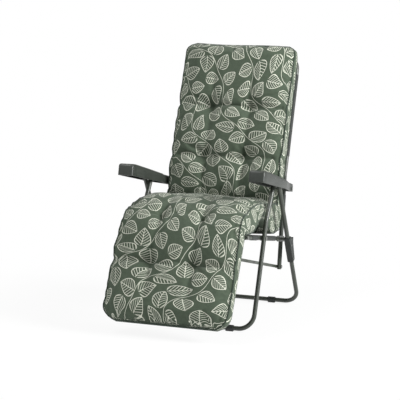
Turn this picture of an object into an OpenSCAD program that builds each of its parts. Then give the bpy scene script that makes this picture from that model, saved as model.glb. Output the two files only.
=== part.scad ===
// Padded folding garden lounger: two crossed leg frames, a seat, a reclining back
// with sliding armrests, and a footrest that the back drives through two push links.
// X is the sitter's left, the sitter faces -Y, and the floor is at Z = 0.
// Side-view places are [y, z] pairs measured from the leg pivot's foot on the floor.

/* [Legs] */
// Height of the pivot that joins the front and rear legs
pivot_h = 545; // [520:1:570]
// How far the front floor bar stands ahead of the leg pivot
front_reach = 241; // [225:1:255]
// How far the rear floor bar stands behind the leg pivot
rear_reach = 296; // [280:1:310]
// Height of the bend in the front legs
front_bend_h = 415; // [400:1:430]
// How far the bend of the front legs is ahead of the leg pivot
front_bend_y = 88; // [80:1:96]
// Radius of the frame's floor corners
corner_r = 60; // [50:1:66]
// Outer diameter of the frame tube
tube_d = 18; // [17:0.5:19]
// Wall of the frame tube
tube_wall = 1.2; // [1:0.1:2]
// Thickness of the foot pads under the floor bars
pad_h = 3; // [2:0.5:5]
// Length of a foot pad
pad_len = 30; // [20:1:40]
// Distance of the foot pads from the middle of the chair
pad_x = 172; // [150:1:180]

/* [Widths] */
// Distance between the centre lines of the seat tubes
frame_w = 488; // [470:1:510]
// Gap between the seat tubes and the front legs
seat_leg_gap = 4; // [3.6:0.1:6]
// Gap between the front legs and the rear legs
leg_gap = 6; // [5.6:0.1:8]
// Running gap on each side of the push links
link_gap = 0.5; // [0.3:0.1:1]

/* [Seat] */
// Height of the seat pivot on the front legs
seat_pivot_h = 352; // [342:1:362]
// Slope of the seat tubes down to the rear, in degrees
seat_slope = 9.8; // [8.5:0.1:11]
// Seat tube length from the seat pivot to the footrest hinge
seat_front = 163; // [155:1:175]
// Distance from the rest bar to the back hinge
rest_gap = 33.14; // [30:0.1:38]
// Diameter of the rest bar
rest_bar_d = 11; // [10:0.5:12]
// Diameter of the cross tubes
cross_d = 16; // [14:0.5:16.5]

/* [Back] */
// Lean of the lower back tubes from upright, in degrees
back_low_lean = 8.6; // [7.6:0.1:10]
// Lean of the upper back tubes from upright, in degrees
back_up_lean = 19.4; // [17:0.1:21]
// Length of the back tube below its hinge
back_tail = 117; // [110:1:124]
// Length from the back hinge to the bend of the back tube
back_low = 262; // [255:1:280]
// Length from the bend to the top of the back tube
back_up = 520; // [480:1:560]
// Height of the armrest pivot above the back hinge, along the tube
arm_pivot_up = 210; // [204:1:214]
// How far the back reclines, in degrees
recline = 32; // [24:1:34]

/* [Footrest] */
// Lean of the footrest from upright, in degrees
foot_lean = 26.5; // [24:0.5:29]
// Length from the footrest hinge to the footrest's bottom bar
foot_len = 348; // [320:1:370]
// Distance from the footrest hinge to the push link's pin
foot_link = 88; // [84:1:92]
// Thickness of the push links
link_t = 3; // [2.5:0.1:4]
// Width of the push links
link_w = 12; // [11:0.5:16]

/* [Armrest] */
// Length of the armrest ahead of its pivot
arm_front = 467; // [450:1:480]
// Height of the armrest at its front end
arm_front_t = 47; // [44:1:52]
// Height of the armrest at its pivot
arm_rear_t = 30; // [28:1:34]
// How far the leg pivot lies below the line through the armrest's pivot
arm_pin_drop = 12.14; // [11:0.1:13.5]
// Wall of the armrest
arm_wall = 3; // [2.5:0.1:3.5]
// How far the armrest's front part reaches inside the seat tube's centre line
arm_inside = 2; // [0:0.5:6]
// Width of the armrest's front part
arm_w = 63.5; // [62:0.5:68]
// Diameter of the pin in the leg pivot
pin_d = 8; // [7:0.5:9]
// Number of notches in the rack under the armrest
notches = 6; // [4:1:7]
// Thickness of the rack
rack_t = 3; // [2:0.5:3.2]

/* [Cushion] */
// How much wider the cushion is than the distance between the seat tubes
cushion_wider = 12; // [0:1:16]
// Thickness of the back cushion
back_soft_t = 87; // [78:1:94]
// Thickness of the seat cushion at the knee
seat_soft_t = 106; // [98:1:112]
// How much the seat cushion swells behind the knee
seat_swell = 24; // [14:1:30]
// Thickness of the foot cushion
foot_soft_t = 68; // [60:1:74]
// Depth of the sewn tufts
tuft_depth = 20; // [10:1:26]
// How far the cushion's bottom edge stands past the footrest's bottom bar
foot_over = 26; // [16:1:34]
// How far the back cushion's top edge stands past the top of the back tube
back_over = 26; // [18:1:34]

/* [Fits] */
// Clearance between a pin and its hole, on the radius
fit = 0.15; // [0.1:0.05:0.25]
// Clearance around a soft piece
soft_gap = 0.3; // [0.3:0.1:0.6]
// Thickness of the sling
sling_t = 1.2; // [0.8:0.1:1.6]
// Diameter of the hinge bolts
bolt_d = 8; // [6:0.5:8]

/* [Hidden] */
$fn = 48;

// Colours, as the lounger shows them
frame_colour = [0.24, 0.28, 0.25];
plastic_colour = [0.2, 0.22, 0.22];
steel_colour = [0.62, 0.63, 0.62];
sling_colour = [0.1, 0.11, 0.1];
cushion_colour = [0.3, 0.38, 0.3];

// A cut's overrun past the face that it opens
over = 2;
tube_r = tube_d / 2;
bore_d = tube_d - 2 * tube_wall;
hole_d = bolt_d + 2 * fit;
sleeve_wall = 1.5;
cap_t = 1;
cap_d = tube_d - 4 * cap_t;

// Lateral places of the layers, each the centre of its tube
seat_x = frame_w / 2;
front_x = seat_x + tube_d + seat_leg_gap;
rear_x = front_x + tube_d + leg_gap;
link_x = seat_x - tube_r - link_gap - link_t / 2;
foot_x = link_x - link_t / 2 - link_gap - tube_r;
arm_in_x = seat_x - arm_inside;
arm_out_x = arm_in_x + arm_w;

function unit(v) = v / norm(v);
// A side-view step of a given length and direction
function step(len, dir) = [len * cos(dir), len * sin(dir)];
// A side-view place turned about another
function turned(p, c, a) = c + [(p.x - c.x) * cos(a) - (p.y - c.y) * sin(a),
    (p.x - c.x) * sin(a) + (p.y - c.y) * cos(a)];
function at(x, p) = [x, p.x, p.y];
function dir_of(v) = atan2(v.y, v.x);
function wrap(a) = a > 180 ? a - 360 : a < -180 ? a + 360 : a;

// Side-view places of the pivots, with the leg pivot at y = 0
bar_h = pad_h + tube_r;
leg_pivot = [0, pivot_h];
front_foot = [-front_reach, bar_h];
rear_foot = [rear_reach, bar_h];
front_bend = [-front_bend_y, front_bend_h];
front_leg_dir = dir_of(front_bend - front_foot);
seat_pivot = front_foot + (front_bend - front_foot)
    * (seat_pivot_h - front_foot.y) / (front_bend.y - front_foot.y);
rail_dir = 180 - seat_slope;
foot_hinge = seat_pivot + step(seat_front, rail_dir);
// The rest bar lies on the rear legs, where its sleeves just clear them
rear_leg_dir = dir_of(leg_pivot - rear_foot);
behind_leg = step(1, rear_leg_dir - 90);
rest_out = tube_r + rest_bar_d / 2 + sleeve_wall + soft_gap;
rest_bar_run = ((seat_pivot - rear_foot) * behind_leg - rest_out)
    / (step(1, rail_dir) * behind_leg);
rest_bar = seat_pivot - step(rest_bar_run, rail_dir);
back_hinge = rest_bar - step(rest_gap, rail_dir);
seat_rear = rest_bar_run + rest_gap;
low_dir = 90 - back_low_lean;
up_dir = 90 - back_up_lean;
tail_end = back_hinge - step(back_tail, low_dir);
tail_stub = 10;
back_bend = back_hinge + step(back_low, low_dir);
back_top = back_bend + step(back_up, up_dir);
arm_pivot = back_hinge + step(arm_pivot_up, low_dir);
foot_dir = 270 - foot_lean;
foot_end = foot_hinge + step(foot_len, foot_dir);
foot_pin = foot_hinge + step(foot_link, foot_dir);
link_len = norm(foot_pin - tail_end);

// The push link's front pin when the back has reclined by t degrees: where the
// link's circle about the tail meets the pin's circle about the footrest hinge
function tail_at(t) = turned(tail_end, back_hinge, -t);
function pin_place(t) = let (base = foot_hinge - tail_at(t), gap = norm(base),
        turn = acos((link_len * link_len + gap * gap - foot_link * foot_link)
            / (2 * link_len * gap)))
    tail_at(t) + step(link_len, dir_of(base) + turn);
function foot_turn(t) = wrap(dir_of(pin_place(t) - foot_hinge) - dir_of(foot_pin - foot_hinge));
function link_turn(t) = wrap(dir_of(pin_place(t) - tail_at(t)) - dir_of(foot_pin - tail_end)) + t;
foot_ratio = foot_turn(recline) / -recline;
link_ratio = link_turn(recline) / -recline;
// The pin in the link's own frame as it was at rest, with both ratios constant
function slot_point(t) = let (pin = turned(foot_pin, foot_hinge, -foot_ratio * t))
    turned(turned(pin, back_hinge, t), tail_end, link_ratio * t);

// The armrest turns on the back so that its underside keeps sliding over the leg pivot
arm_dir = dir_of(leg_pivot - arm_pivot) - asin(arm_pin_drop / norm(leg_pivot - arm_pivot));
function arm_need(t) = let (p = turned(arm_pivot, back_hinge, -t), v = leg_pivot - p)
    dir_of(v) - asin(arm_pin_drop / norm(v)) - arm_dir + t;
arm_ratio = arm_need(recline) / -recline;
// The leg pivot in the armrest's own frame as it was at rest
function lane_point(t) = turned(turned(leg_pivot, back_hinge, t), arm_pivot, arm_ratio * t);

// Cushion beds, measured square from the tube centre lines
sling_off = tube_r + fit;
bed_off = sling_off + sling_t + soft_gap;
cushion_w = frame_w + cushion_wider;
half_w = cushion_w / 2;

// Solid bar between two places in space
module rod(a, b, d) {
    v = b - a;
    translate(a) rotate([0, acos(v.z / norm(v)), atan2(v.y, v.x)]) cylinder(h = norm(v), d = d);
}

// Arc of tube that rounds the corner at b between a and c
module corner(a, b, c, r) {
    u = unit(a - b);
    v = unit(c - b);
    half = acos(u * v) / 2;
    mid = b + unit(u + v) * r / sin(half);
    from = unit(b + u * r / tan(half) - mid);
    to = unit(b + v * r / tan(half) - mid);
    axle = unit(cross(from, to));
    side = cross(axle, from);
    multmatrix([[from.x, side.x, axle.x, mid.x], [from.y, side.y, axle.y, mid.y],
        [from.z, side.z, axle.z, mid.z], [0, 0, 0, 1]])
        rotate_extrude(angle = 180 - 2 * half) translate([r, 0]) difference() {
            circle(d = tube_d);
            circle(d = bore_d);
        }
}

function reach(a, b, c, r) = r / tan(acos(unit(a - b) * unit(c - b)) / 2);

// Hollow stretch of tube between two places
module pipe(a, b) {
    u = unit(b - a);
    difference() {
        rod(a, b, tube_d);
        rod(a - u * over, b + u * over, bore_d);
    }
}

// Hollow tube through a list of places, each inner place rounded by its radius
module tube(pts, radii) {
    last = len(pts) - 1;
    cut = [for (i = [0:last]) i == 0 || i == last ? 0
        : reach(pts[i - 1], pts[i], pts[i + 1], radii[i])];
    for (i = [0:last - 1])
        let (u = unit(pts[i + 1] - pts[i])) pipe(pts[i] + u * cut[i], pts[i + 1] - u * cut[i + 1]);
    for (i = [1:last - 1]) corner(pts[i - 1], pts[i], pts[i + 1], radii[i]);
}

// A bent frame is drawn upright from its floor bar or bend, then leaned as one
function upright(p, origin, dir) = turned(p, origin, 90 - dir) - origin;
module leaned(origin, dir) {
    translate(at(0, origin)) rotate([dir - 90, 0, 0]) children();
}
module bent_tube(places, x, radii, origin, dir) {
    side = [for (p = places) upright(p, origin, dir)];
    last = len(places) - 1;
    pts = concat([for (p = side) at(-x, p)], [for (i = [last:-1:0]) at(x, side[i])]);
    leaned(origin, dir) tube(pts, concat(radii, [for (i = [last:-1:0]) radii[i]]));
}

// Cross-wise pin from x0 to x1 at a side-view place
module cross_pin(p, x0, x1, d) {
    translate(at(x0, p)) rotate([0, 90, 0]) cylinder(h = x1 - x0, d = d);
}

// Drills through both sides of a frame at a side-view place
module drill(p, d) {
    cross_pin(p, -rear_x - tube_d, rear_x + tube_d, d);
}

head_t = 2.4;
head_d = 14;
// Headed bolt across x0 to x1, with its head beyond x1 and a nut beyond x0
module bolt(p, x0, x1, d, nut_d = head_d) {
    cross_pin(p, x0 - head_t, x0, nut_d);
    cross_pin(p, x0 - over / 2, x1 + over / 2, d);
    cross_pin(p, x1, x1 + head_t, head_d);
}

// Ring across x0 to x1
module ring(p, x0, x1, d_in, d_out) {
    difference() {
        cross_pin(p, x0, x1, d_out);
        cross_pin(p, x0 - over, x1 + over, d_in);
    }
}

// Plate in the side view, from x0 to x1
module side_plate(x0, x1) {
    translate([x0, 0, 0]) rotate([90, 0, 90]) linear_extrude(x1 - x0) children();
}

// Bar with round ends between two side-view places, as an outline
module strap(a, b, w) {
    n = unit([a.y - b.y, b.x - a.x]) * w / 2;
    translate(a) circle(d = w);
    translate(b) circle(d = w);
    polygon([a + n, a - n, b - n, b + n]);
}

module both() {
    children();
    mirror([1, 0, 0]) children();
}

// Plug that closes a tube's open end, its flange beyond the end
module plug(end, along, length) {
    rod(end - along * length, end, bore_d - 2 * fit);
    rod(end, end + along * cap_t, cap_d);
}

// The whole chair stands with the middle of its length over the origin
module placed() {
    translate([0, middle_y, 0]) children();
}

// Front legs, bent a little where their upper lengths start. At each bend the tubes run
// a little past it, into each other.
bend_lap = 3;
front_top_dir = dir_of(leg_pivot - front_bend);
leg_top = 9;
front_top = leg_pivot + unit(leg_pivot - front_bend) * leg_top;
module front_leg_frame() color(frame_colour) placed() {
    difference() {
        bent_tube([front_bend + step(bend_lap, front_leg_dir), front_foot], front_x, [0, corner_r],
            front_foot, front_leg_dir);
        drill(seat_pivot, hole_d);
    }
    both() difference() {
        pipe(at(front_x, front_bend - step(bend_lap, front_top_dir)), at(front_x, front_top));
        drill(leg_pivot, pin_d + 2 * fit);
    }
}

module leg_caps(x, top, along) {
    both() difference() {
        plug(at(x, top), at(0, along), 2 * leg_top);
        drill(leg_pivot, pin_d + 2 * fit);
    }
}
module front_leg_caps() color(plastic_colour) placed()
    leg_caps(front_x, front_top, unit(leg_pivot - front_bend));

// Foot pads clip round the floor bars and are flat underneath
pad_out_d = tube_d + 2 * pad_h;
pad_foot_w = 16;
module pads(foot) {
    both() difference() {
        union() {
            cross_pin(foot, pad_x - pad_len / 2, pad_x + pad_len / 2, pad_out_d);
            translate([pad_x - pad_len / 2, foot.x - pad_foot_w / 2, 0])
                cube([pad_len, pad_foot_w, foot.y]);
        }
        cross_pin(foot, pad_x - pad_len, pad_x + pad_len, tube_d + 2 * fit);
    }
}
module front_foot_pads() color(plastic_colour) placed() pads(front_foot);

// The pin in the leg pivot holds both legs and carries the armrest's rack
module leg_pivot_pins() color(steel_colour) placed() both()
    bolt(leg_pivot, front_x - tube_r - fit, rear_x + tube_r + fit, pin_d);

module seat_pivot_bolts() color(steel_colour) placed() both()
    bolt(seat_pivot, seat_x - tube_r - fit, front_x + tube_r + fit, bolt_d,
        cross_d - 2 * tube_wall - 4 * fit);

module seat_pivot_washers() color(plastic_colour) placed() both()
    ring(seat_pivot, seat_x + tube_r + fit, front_x - tube_r - fit, hole_d, head_d);

// Rear legs
rear_along = unit(leg_pivot - rear_foot);
rear_top = leg_pivot + rear_along * leg_top;
module rear_leg_frame() color(frame_colour) placed() difference() {
    bent_tube([rear_top, rear_foot], rear_x, [0, corner_r], rear_foot, rear_leg_dir);
    drill(leg_pivot, pin_d + 2 * fit);
    for (s = cradle_rivet_shares) drill(on_rear_leg(s), rivet_d + 2 * fit);
}
module rear_leg_caps() color(plastic_colour) placed() leg_caps(rear_x, rear_top, rear_along);
module rear_foot_pads() color(plastic_colour) placed() pads(rear_foot);

// Cradles: moulded saddles on the rear legs, with a notch that the rest bar lies in.
// Places on them are [along the leg upwards from the rest bar, out behind the leg].
rivet_d = 5;
rivet_head_t = 1.6;
rivet_head_d = 9;
cradle_rivet_shares = [0.18, 0.86];
cradle_down = 100;
cradle_up = 22;
cradle_wall = 3;
cradle_out = 40;
lip_slope = 36;
web_share = 0.8;
rest_along = (rest_bar - rear_foot) * rear_along;
function leg_place(along, out) = rear_foot + rear_along * (rest_along + along)
    + behind_leg * out;
function on_rear_leg(share) = leg_place(-cradle_down * share, 0);
notch_r = rest_bar_d / 2 + sleeve_wall + 2 * fit;
// The lip's far end rises from the notch at the lip's slope over the floor
lip_foot = rest_bar - [0, notch_r];
lip_end = lip_foot + step(cradle_out - rest_out, lip_slope);
cradle_in = tube_r + cradle_wall;
module cradle_outline() polygon([
    leg_place(-cradle_down, -cradle_in), leg_place(-cradle_down, cradle_in),
    leg_place(-cradle_down * web_share, cradle_in + cradle_wall), lip_end - [0, cradle_out / 2],
    lip_end, lip_foot, leg_place(cradle_up, tube_r), leg_place(cradle_up, -cradle_in)]);
module cradle() {
    difference() {
        side_plate(rear_x - tube_r - cradle_wall, rear_x + tube_r + cradle_wall) cradle_outline();
        rod(at(rear_x, rear_foot), at(rear_x, leg_pivot), tube_d + 2 * fit);
        cross_pin(rest_bar, front_x, rear_x + 2 * tube_d, 2 * notch_r);
        for (s = cradle_rivet_shares) drill(on_rear_leg(s), rivet_d + 2 * fit);
    }
}
module cradle_left() color(plastic_colour) placed() cradle();
module cradle_right() color(plastic_colour) placed() mirror([1, 0, 0]) cradle();
module cradle_rivets() color(steel_colour) placed() both() for (s = cradle_rivet_shares)
    let (p = on_rear_leg(s), x1 = rear_x + tube_r + cradle_wall) {
        cross_pin(p, rear_x - tube_r - cradle_wall, x1, rivet_d);
        cross_pin(p, x1, x1 + rivet_head_t, rivet_head_d);
    }

// Seat frame: two straight tubes and two cross tubes in one weldment
rail_front_stub = 12;
rail_rear_gap = 22;
cross_back = 36;
rail_front = foot_hinge + step(rail_front_stub, rail_dir);
rail_rear = back_hinge + step(rail_rear_gap, rail_dir);
cross_places = [foot_hinge - step(cross_back, rail_dir), seat_pivot];
module seat_frame() color(frame_colour) placed() difference() {
    union() {
        both() rod(at(seat_x, rail_front), at(seat_x, rail_rear), tube_d);
        for (p = cross_places) cross_pin(p, -seat_x, seat_x, cross_d);
    }
    both() rod(at(seat_x, rail_front + step(over, rail_dir)),
        at(seat_x, rail_rear - step(over, rail_dir)), bore_d);
    for (p = cross_places)
        cross_pin(p, -seat_x + tube_r - tube_wall, seat_x - tube_r + tube_wall, cross_d - 2 * tube_wall);
    drill(seat_pivot, hole_d);
    drill(foot_hinge, hole_d);
    drill(rest_bar, rest_bar_d + 2 * fit);
    drill(plate_rivet, rivet_d + 2 * fit);
}

rest_bar_x = rear_x + tube_r + cradle_wall;
module seat_rest_bar() color(frame_colour) placed()
    cross_pin(rest_bar, -rest_bar_x, rest_bar_x, rest_bar_d);
module rest_bar_sleeves() color(plastic_colour) placed() both()
    ring(rest_bar, front_x + tube_r, rest_bar_x, rest_bar_d + 2 * fit, rest_bar_d + 2 * sleeve_wall);

cap_plug = 4;
module seat_tube_caps() color(plastic_colour) placed() both() {
    difference() {
        plug(at(seat_x, rail_front), at(0, step(1, rail_dir)), 2 * rail_front_stub);
        drill(foot_hinge, hole_d);
    }
    plug(at(seat_x, rail_rear), at(0, -step(1, rail_dir)), cap_plug);
}

// Flat plates carry the back's hinge behind the ends of the seat tubes
plate_t = 3;
plate_w = 24;
plate_x = seat_x + tube_r + fit;
plate_len = 80;
plate_rivet = back_hinge + step(plate_len - plate_w / 2, rail_dir);
module back_hinge_plates() color(frame_colour) placed() both() side_plate(plate_x, plate_x + plate_t)
    difference() {
        strap(back_hinge, back_hinge + step(plate_len, rail_dir), plate_w);
        translate(back_hinge) circle(d = hole_d);
        translate(rest_bar) circle(d = rest_bar_d + 2 * fit);
        translate(plate_rivet) circle(d = rivet_d + 2 * fit);
    }
module hinge_plate_rivets() color(steel_colour) placed() both() {
    x0 = seat_x - tube_r - fit;
    x1 = plate_x + plate_t + fit;
    cross_pin(plate_rivet, x0, x1, rivet_d);
    cross_pin(plate_rivet, x1, x1 + rivet_head_t, rivet_head_d);
    cross_pin(plate_rivet, x0 - rivet_head_t, x0, rivet_head_d);
}
module back_hinge_bolts() color(steel_colour) placed() both()
    bolt(back_hinge, seat_x - tube_r - fit, plate_x + plate_t + fit, bolt_d);

// The footrest hangs inside the seat tubes on its own bolts
module footrest_hinge_bolts() color(steel_colour) placed() both()
    bolt(foot_hinge, foot_x - tube_r - fit, seat_x + tube_r + fit, bolt_d);
module footrest_hinge_washers() color(plastic_colour) placed() both()
    ring(foot_hinge, foot_x + tube_r + fit, seat_x - tube_r - fit, hole_d, head_d);

// Sling: a sheet stretched on the front of two tubes, with a hem round each tube
module sling_run(a, b, x) {
    both() difference() {
        rod(at(x, a), at(x, b), 2 * (sling_off + sling_t));
        rod(at(x, a) - at(0, unit(b - a)) * over, at(x, b) + at(0, unit(b - a)) * over, 2 * sling_off);
    }
}
// Sheet between side-view places a and b, a little thinner than the hems that it runs
// into, lying square off the tubes to the side of turn
sheet_shares = [0.15, 0.8];
module sling_sheet(a, b, x, turn) {
    n = step(1, dir_of(b - a) + turn);
    low = sling_off + sling_t * sheet_shares[0];
    high = sling_off + sling_t * sheet_shares[1];
    side_plate(-x, x) polygon([a + n * low, b + n * low, b + n * high, a + n * high]);
}
function on_rail(share) = foot_hinge + (back_hinge - foot_hinge) * share;
seat_sling_shares = [0.13, 0.29, 0.41, 0.8];
module seat_sling() color(sling_colour) placed() {
    sling_sheet(on_rail(seat_sling_shares[0]), on_rail(seat_sling_shares[3]), seat_x, 90);
    sling_run(on_rail(seat_sling_shares[0]), on_rail(seat_sling_shares[1]), seat_x);
    sling_run(on_rail(seat_sling_shares[2]), on_rail(seat_sling_shares[3]), seat_x);
}

// Back frame
back_corner_r = 62;
tail_cap_end = tail_end - step(tail_stub, low_dir);
module back_frame() color(frame_colour) placed() {
    bent_tube([back_bend - step(bend_lap, up_dir), back_top], seat_x, [0, back_corner_r], back_bend,
        up_dir);
    both() difference() {
        pipe(at(seat_x, back_bend + step(bend_lap, low_dir)), at(seat_x, tail_cap_end));
        drill(back_hinge, hole_d);
        drill(tail_end, hole_d);
        drill(arm_pivot, hole_d);
    }
}
module back_tube_caps() color(plastic_colour) placed() both() difference() {
    plug(at(seat_x, tail_cap_end), at(0, -step(1, low_dir)), 2 * tail_stub);
    drill(tail_end, hole_d);
}

function on_low(share) = back_hinge + (back_bend - back_hinge) * share;
function on_up(share) = back_bend + (back_top - back_bend) * share;
low_sling_shares = [0.36, 0.7];
up_sling_shares = [0.16, 0.84];
module back_sling() color(sling_colour) placed() {
    sling_sheet(on_low(low_sling_shares[0]), on_low(low_sling_shares[1]), seat_x, 90);
    sling_run(on_low(low_sling_shares[0]), on_low(low_sling_shares[1]), seat_x);
    sling_sheet(on_up(up_sling_shares[0]), on_up(up_sling_shares[1]), seat_x, 90);
    sling_run(on_up(up_sling_shares[0]), on_up(up_sling_shares[1]), seat_x);
}

// Armrest pivot, outboard of the back tubes
arm_wash = 1.6;
arm_in_rear = seat_x + tube_r + arm_wash;
arm_rear_w = 24;
module armrest_bolts() color(steel_colour) placed() both()
    bolt(arm_pivot, seat_x - tube_r - fit, arm_in_rear + arm_rear_w + fit, bolt_d);
module armrest_washers() color(plastic_colour) placed() both()
    ring(arm_pivot, seat_x + tube_r + fit, arm_in_rear - fit, hole_d, head_d);

module link_bolts() color(steel_colour) placed() both() {
    cross_pin(tail_end, link_x - link_t / 2 - fit - head_t, link_x - link_t / 2 - fit, head_d);
    cross_pin(tail_end, link_x - link_t / 2 - fit - over / 2, seat_x + tube_r + fit + over / 2, bolt_d);
    cross_pin(tail_end, seat_x + tube_r + fit, seat_x + tube_r + fit + head_t, head_d);
}

// Footrest frame
foot_stub = 5.2;
foot_start = foot_hinge - step(foot_stub, foot_dir);
module footrest_frame() color(frame_colour) placed() difference() {
    bent_tube([foot_start, foot_end], foot_x, [0, corner_r], foot_end, foot_dir + 180);
    drill(foot_hinge, hole_d);
    drill(foot_pin, link_pin_d + 2 * fit);
}
module footrest_caps() color(plastic_colour) placed() both() difference() {
    plug(at(foot_x, foot_start), at(0, -step(1, foot_dir)), 2 * foot_stub);
    drill(foot_hinge, hole_d);
}
function on_foot(share) = foot_hinge + (foot_end - foot_hinge) * share;
foot_sling_shares = [0.34, 0.82];
module footrest_sling() color(sling_colour) placed() {
    sling_sheet(on_foot(foot_sling_shares[0]), on_foot(foot_sling_shares[1]), foot_x, -90);
    sling_run(on_foot(foot_sling_shares[0]), on_foot(foot_sling_shares[1]), foot_x);
}

// Push links: flat bars pivoted on the back's tail, with a slot over the footrest's pin
link_pin_d = 6;
slot_steps = 8;
slot_ends = [for (i = [0:slot_steps]) slot_point(recline * i / slot_steps)];
link_along = unit(foot_pin - tail_end);
slot_near = min([for (p = slot_ends) (p - tail_end) * link_along]);
slot_far = max([for (p = slot_ends) (p - tail_end) * link_along]);
slot_side = [for (p = slot_ends) (p - tail_end) * [-link_along.y, link_along.x]];
slot_w = link_pin_d + 2 * fit + max(slot_side) - min(slot_side);
slot_mid = [-link_along.y, link_along.x] * (max(slot_side) + min(slot_side)) / 2;
slot_a = tail_end + link_along * slot_near + slot_mid;
slot_b = tail_end + link_along * slot_far + slot_mid;
eye_rim = 7;
head_w = slot_w + eye_rim;
module link_outline() {
    difference() {
        union() {
            strap(tail_end, foot_pin, link_w);
            strap(slot_a, slot_b, head_w);
        }
        translate(tail_end) circle(d = hole_d);
        strap(slot_a, slot_b, slot_w);
    }
}
module push_link() side_plate(link_x - link_t / 2, link_x + link_t / 2) link_outline();
module link_left() color(frame_colour) placed() push_link();
module link_right() color(frame_colour) placed() mirror([1, 0, 0]) push_link();
pin_head_rim = 4;
pin_head_d = slot_w + pin_head_rim;
module link_pins() color(steel_colour) placed() both() {
    cross_pin(foot_pin, foot_x - tube_r - fit, link_x + link_t / 2 + fit + over / 2, link_pin_d);
    cross_pin(foot_pin, foot_x - tube_r - fit - head_t, foot_x - tube_r - fit, head_d);
    cross_pin(foot_pin, link_x + link_t / 2 + fit, link_x + link_t / 2 + fit + over / 2, pin_head_d);
}

// Armrest: places on it are [ahead of its pivot, above the line through its pivot]
function arm_place(ahead, up) = arm_pivot + step(ahead, arm_dir) + step(up, arm_dir - 90);
arm_rear_over = 20;
// Top line's height above the pivot line, as a share of the armrest's front height
arm_crown_shares = [[1, 0.52], [0.98, 0.6], [0.66, 0.55], [0.33, 0.47], [0, 0.48]];
arm_top_pts = [for (s = arm_crown_shares) arm_place(arm_front * s[0], arm_front_t * s[1])];
arm_rear_end = -arm_rear_over;
// Underside from the rear: [share of the length ahead, share of the front height above
// the pivot line, share of the rear height below that]
arm_low_shares = [[0, 0.4, 0], [0, 0.4, 1], [0.25, 0.47, 1.24], [0.7, -0.41, 0], [0.985, -0.46, 0]];
arm_low_pts = [for (s = arm_low_shares) arm_place(s[0] == 0 ? arm_rear_end : arm_front * s[0],
    arm_front_t * s[1] - arm_rear_t * s[2])];
module arm_side() polygon(concat(arm_top_pts, arm_low_pts));
// Plan outline: [y from the leg pivot, x], wide in front and drawn in at the pivot
arm_y_front = arm_place(arm_front, 0).x - tube_d;
arm_wide_shares = [2.6, 1.5];
arm_y_wide = tube_d * arm_wide_shares[0];
arm_narrow_share = 1.2;
arm_y_narrow = arm_pivot.x - back_soft_t * arm_narrow_share;
arm_y_rear = arm_place(arm_rear_end, 0).x + tube_d;
function arm_plan(w) = [[arm_in_x + w, arm_y_front], [arm_out_x - w, arm_y_front],
    [arm_out_x - w, arm_y_wide], [arm_in_rear + arm_rear_w - w, arm_pivot.x - tube_d],
    [arm_in_rear + arm_rear_w - w, arm_y_rear], [arm_in_rear + w, arm_y_rear],
    [arm_in_rear + w, arm_y_narrow], 
    [arm_in_x + w, arm_y_narrow - tube_d * arm_wide_shares[1]]];
module arm_prism(w) linear_extrude(pivot_h * 2) polygon(arm_plan(w));
module arm_shell() {
    difference() {
        intersection() {
            arm_prism(0);
            side_plate(arm_in_x - over, arm_out_x + over) arm_side();
        }
        intersection() {
            arm_prism(arm_wall);
            side_plate(arm_in_x - over, arm_out_x + over) arm_hollow();
        }
        drill(arm_pivot, hole_d);
        for (s = rack_screw_shares) rack_hole(s, screw_d + 2 * fit);
    }
}
// The hollow is the side outline sunk by the top's wall and open underneath
module arm_hollow() difference() {
    translate(step(arm_wall, arm_dir + 90)) arm_side_deep();
    translate(arm_place(arm_front - arm_wall, 0)) rotate(arm_dir) translate([0, -arm_front, 0])
        square([arm_front, 2 * arm_front]);
}
module arm_side_deep() polygon(concat(arm_top_pts,
    [for (p = arm_low_pts) p + step(arm_front_t, arm_dir + 90)]));

// Rack: a steel strip whose teeth run just over the leg pivot's pin
tooth_gap = 0.4;
tooth_h = 7;
rack_screw_down = 8.4;
rack_x = (front_x + rear_x) / 2;
rack_foot_share = 0.47;
rack_foot_h = arm_front_t * rack_foot_share - arm_wall;
rack_extra = 16;
screw_d = 4;
rack_screw_shares = [0.12, 0.88];
rack_near = norm(leg_pivot - arm_pivot) - rack_extra;
rack_far = (lane_point(recline) - arm_pivot) * step(1, arm_dir) + rack_extra;
function lane_up(ahead) = let (t = recline * (ahead - rack_near - rack_extra)
        / (rack_far - rack_near - 2 * rack_extra))
    (lane_point(max(0, min(recline, t))) - arm_pivot) * step(1, arm_dir - 90);
rack_pts = 2 * notches;
tip_up = pin_d / 2 + tooth_gap;
function rack_low(i) = let (ahead = rack_near + (rack_far - rack_near) * i / rack_pts)
    arm_place(ahead, lane_up(ahead) + tip_up + (i % 2 == 1 ? tooth_h : 0));
module rack() {
    top_up = rack_foot_h - fit;
    side_plate(rack_x - rack_t / 2, rack_x + rack_t / 2) polygon(concat(
        [arm_place(rack_far, top_up), arm_place(rack_near, top_up)],
        [for (i = [0:rack_pts]) rack_low(i)]));
}
function rack_screw_place(share) = arm_place(rack_near + (rack_far - rack_near) * share, 0);
module rack_hole(share, d) {
    p = rack_screw_place(share) + step(rack_foot_h - rack_screw_down, arm_dir - 90);
    cross_pin(p, arm_in_x - over, arm_out_x + over, d);
}
module rack_cut() difference() {
    rack();
    for (s = rack_screw_shares) rack_hole(s, screw_d + 2 * fit);
}
module rack_screws() for (s = rack_screw_shares) {
    p = rack_screw_place(s) + step(rack_foot_h - rack_screw_down, arm_dir - 90);
    cross_pin(p, arm_in_x, arm_out_x + head_t / 2, screw_d);
}
module armrest_left() color(plastic_colour) placed() arm_shell();
module armrest_right() color(plastic_colour) placed() mirror([1, 0, 0]) arm_shell();
module rack_left() color(steel_colour) placed() rack_cut();
module rack_right() color(steel_colour) placed() mirror([1, 0, 0]) rack_cut();
module rack_screws_left() color(steel_colour) placed() rack_screws();
module rack_screws_right() color(steel_colour) placed() mirror([1, 0, 0]) rack_screws();

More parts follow.
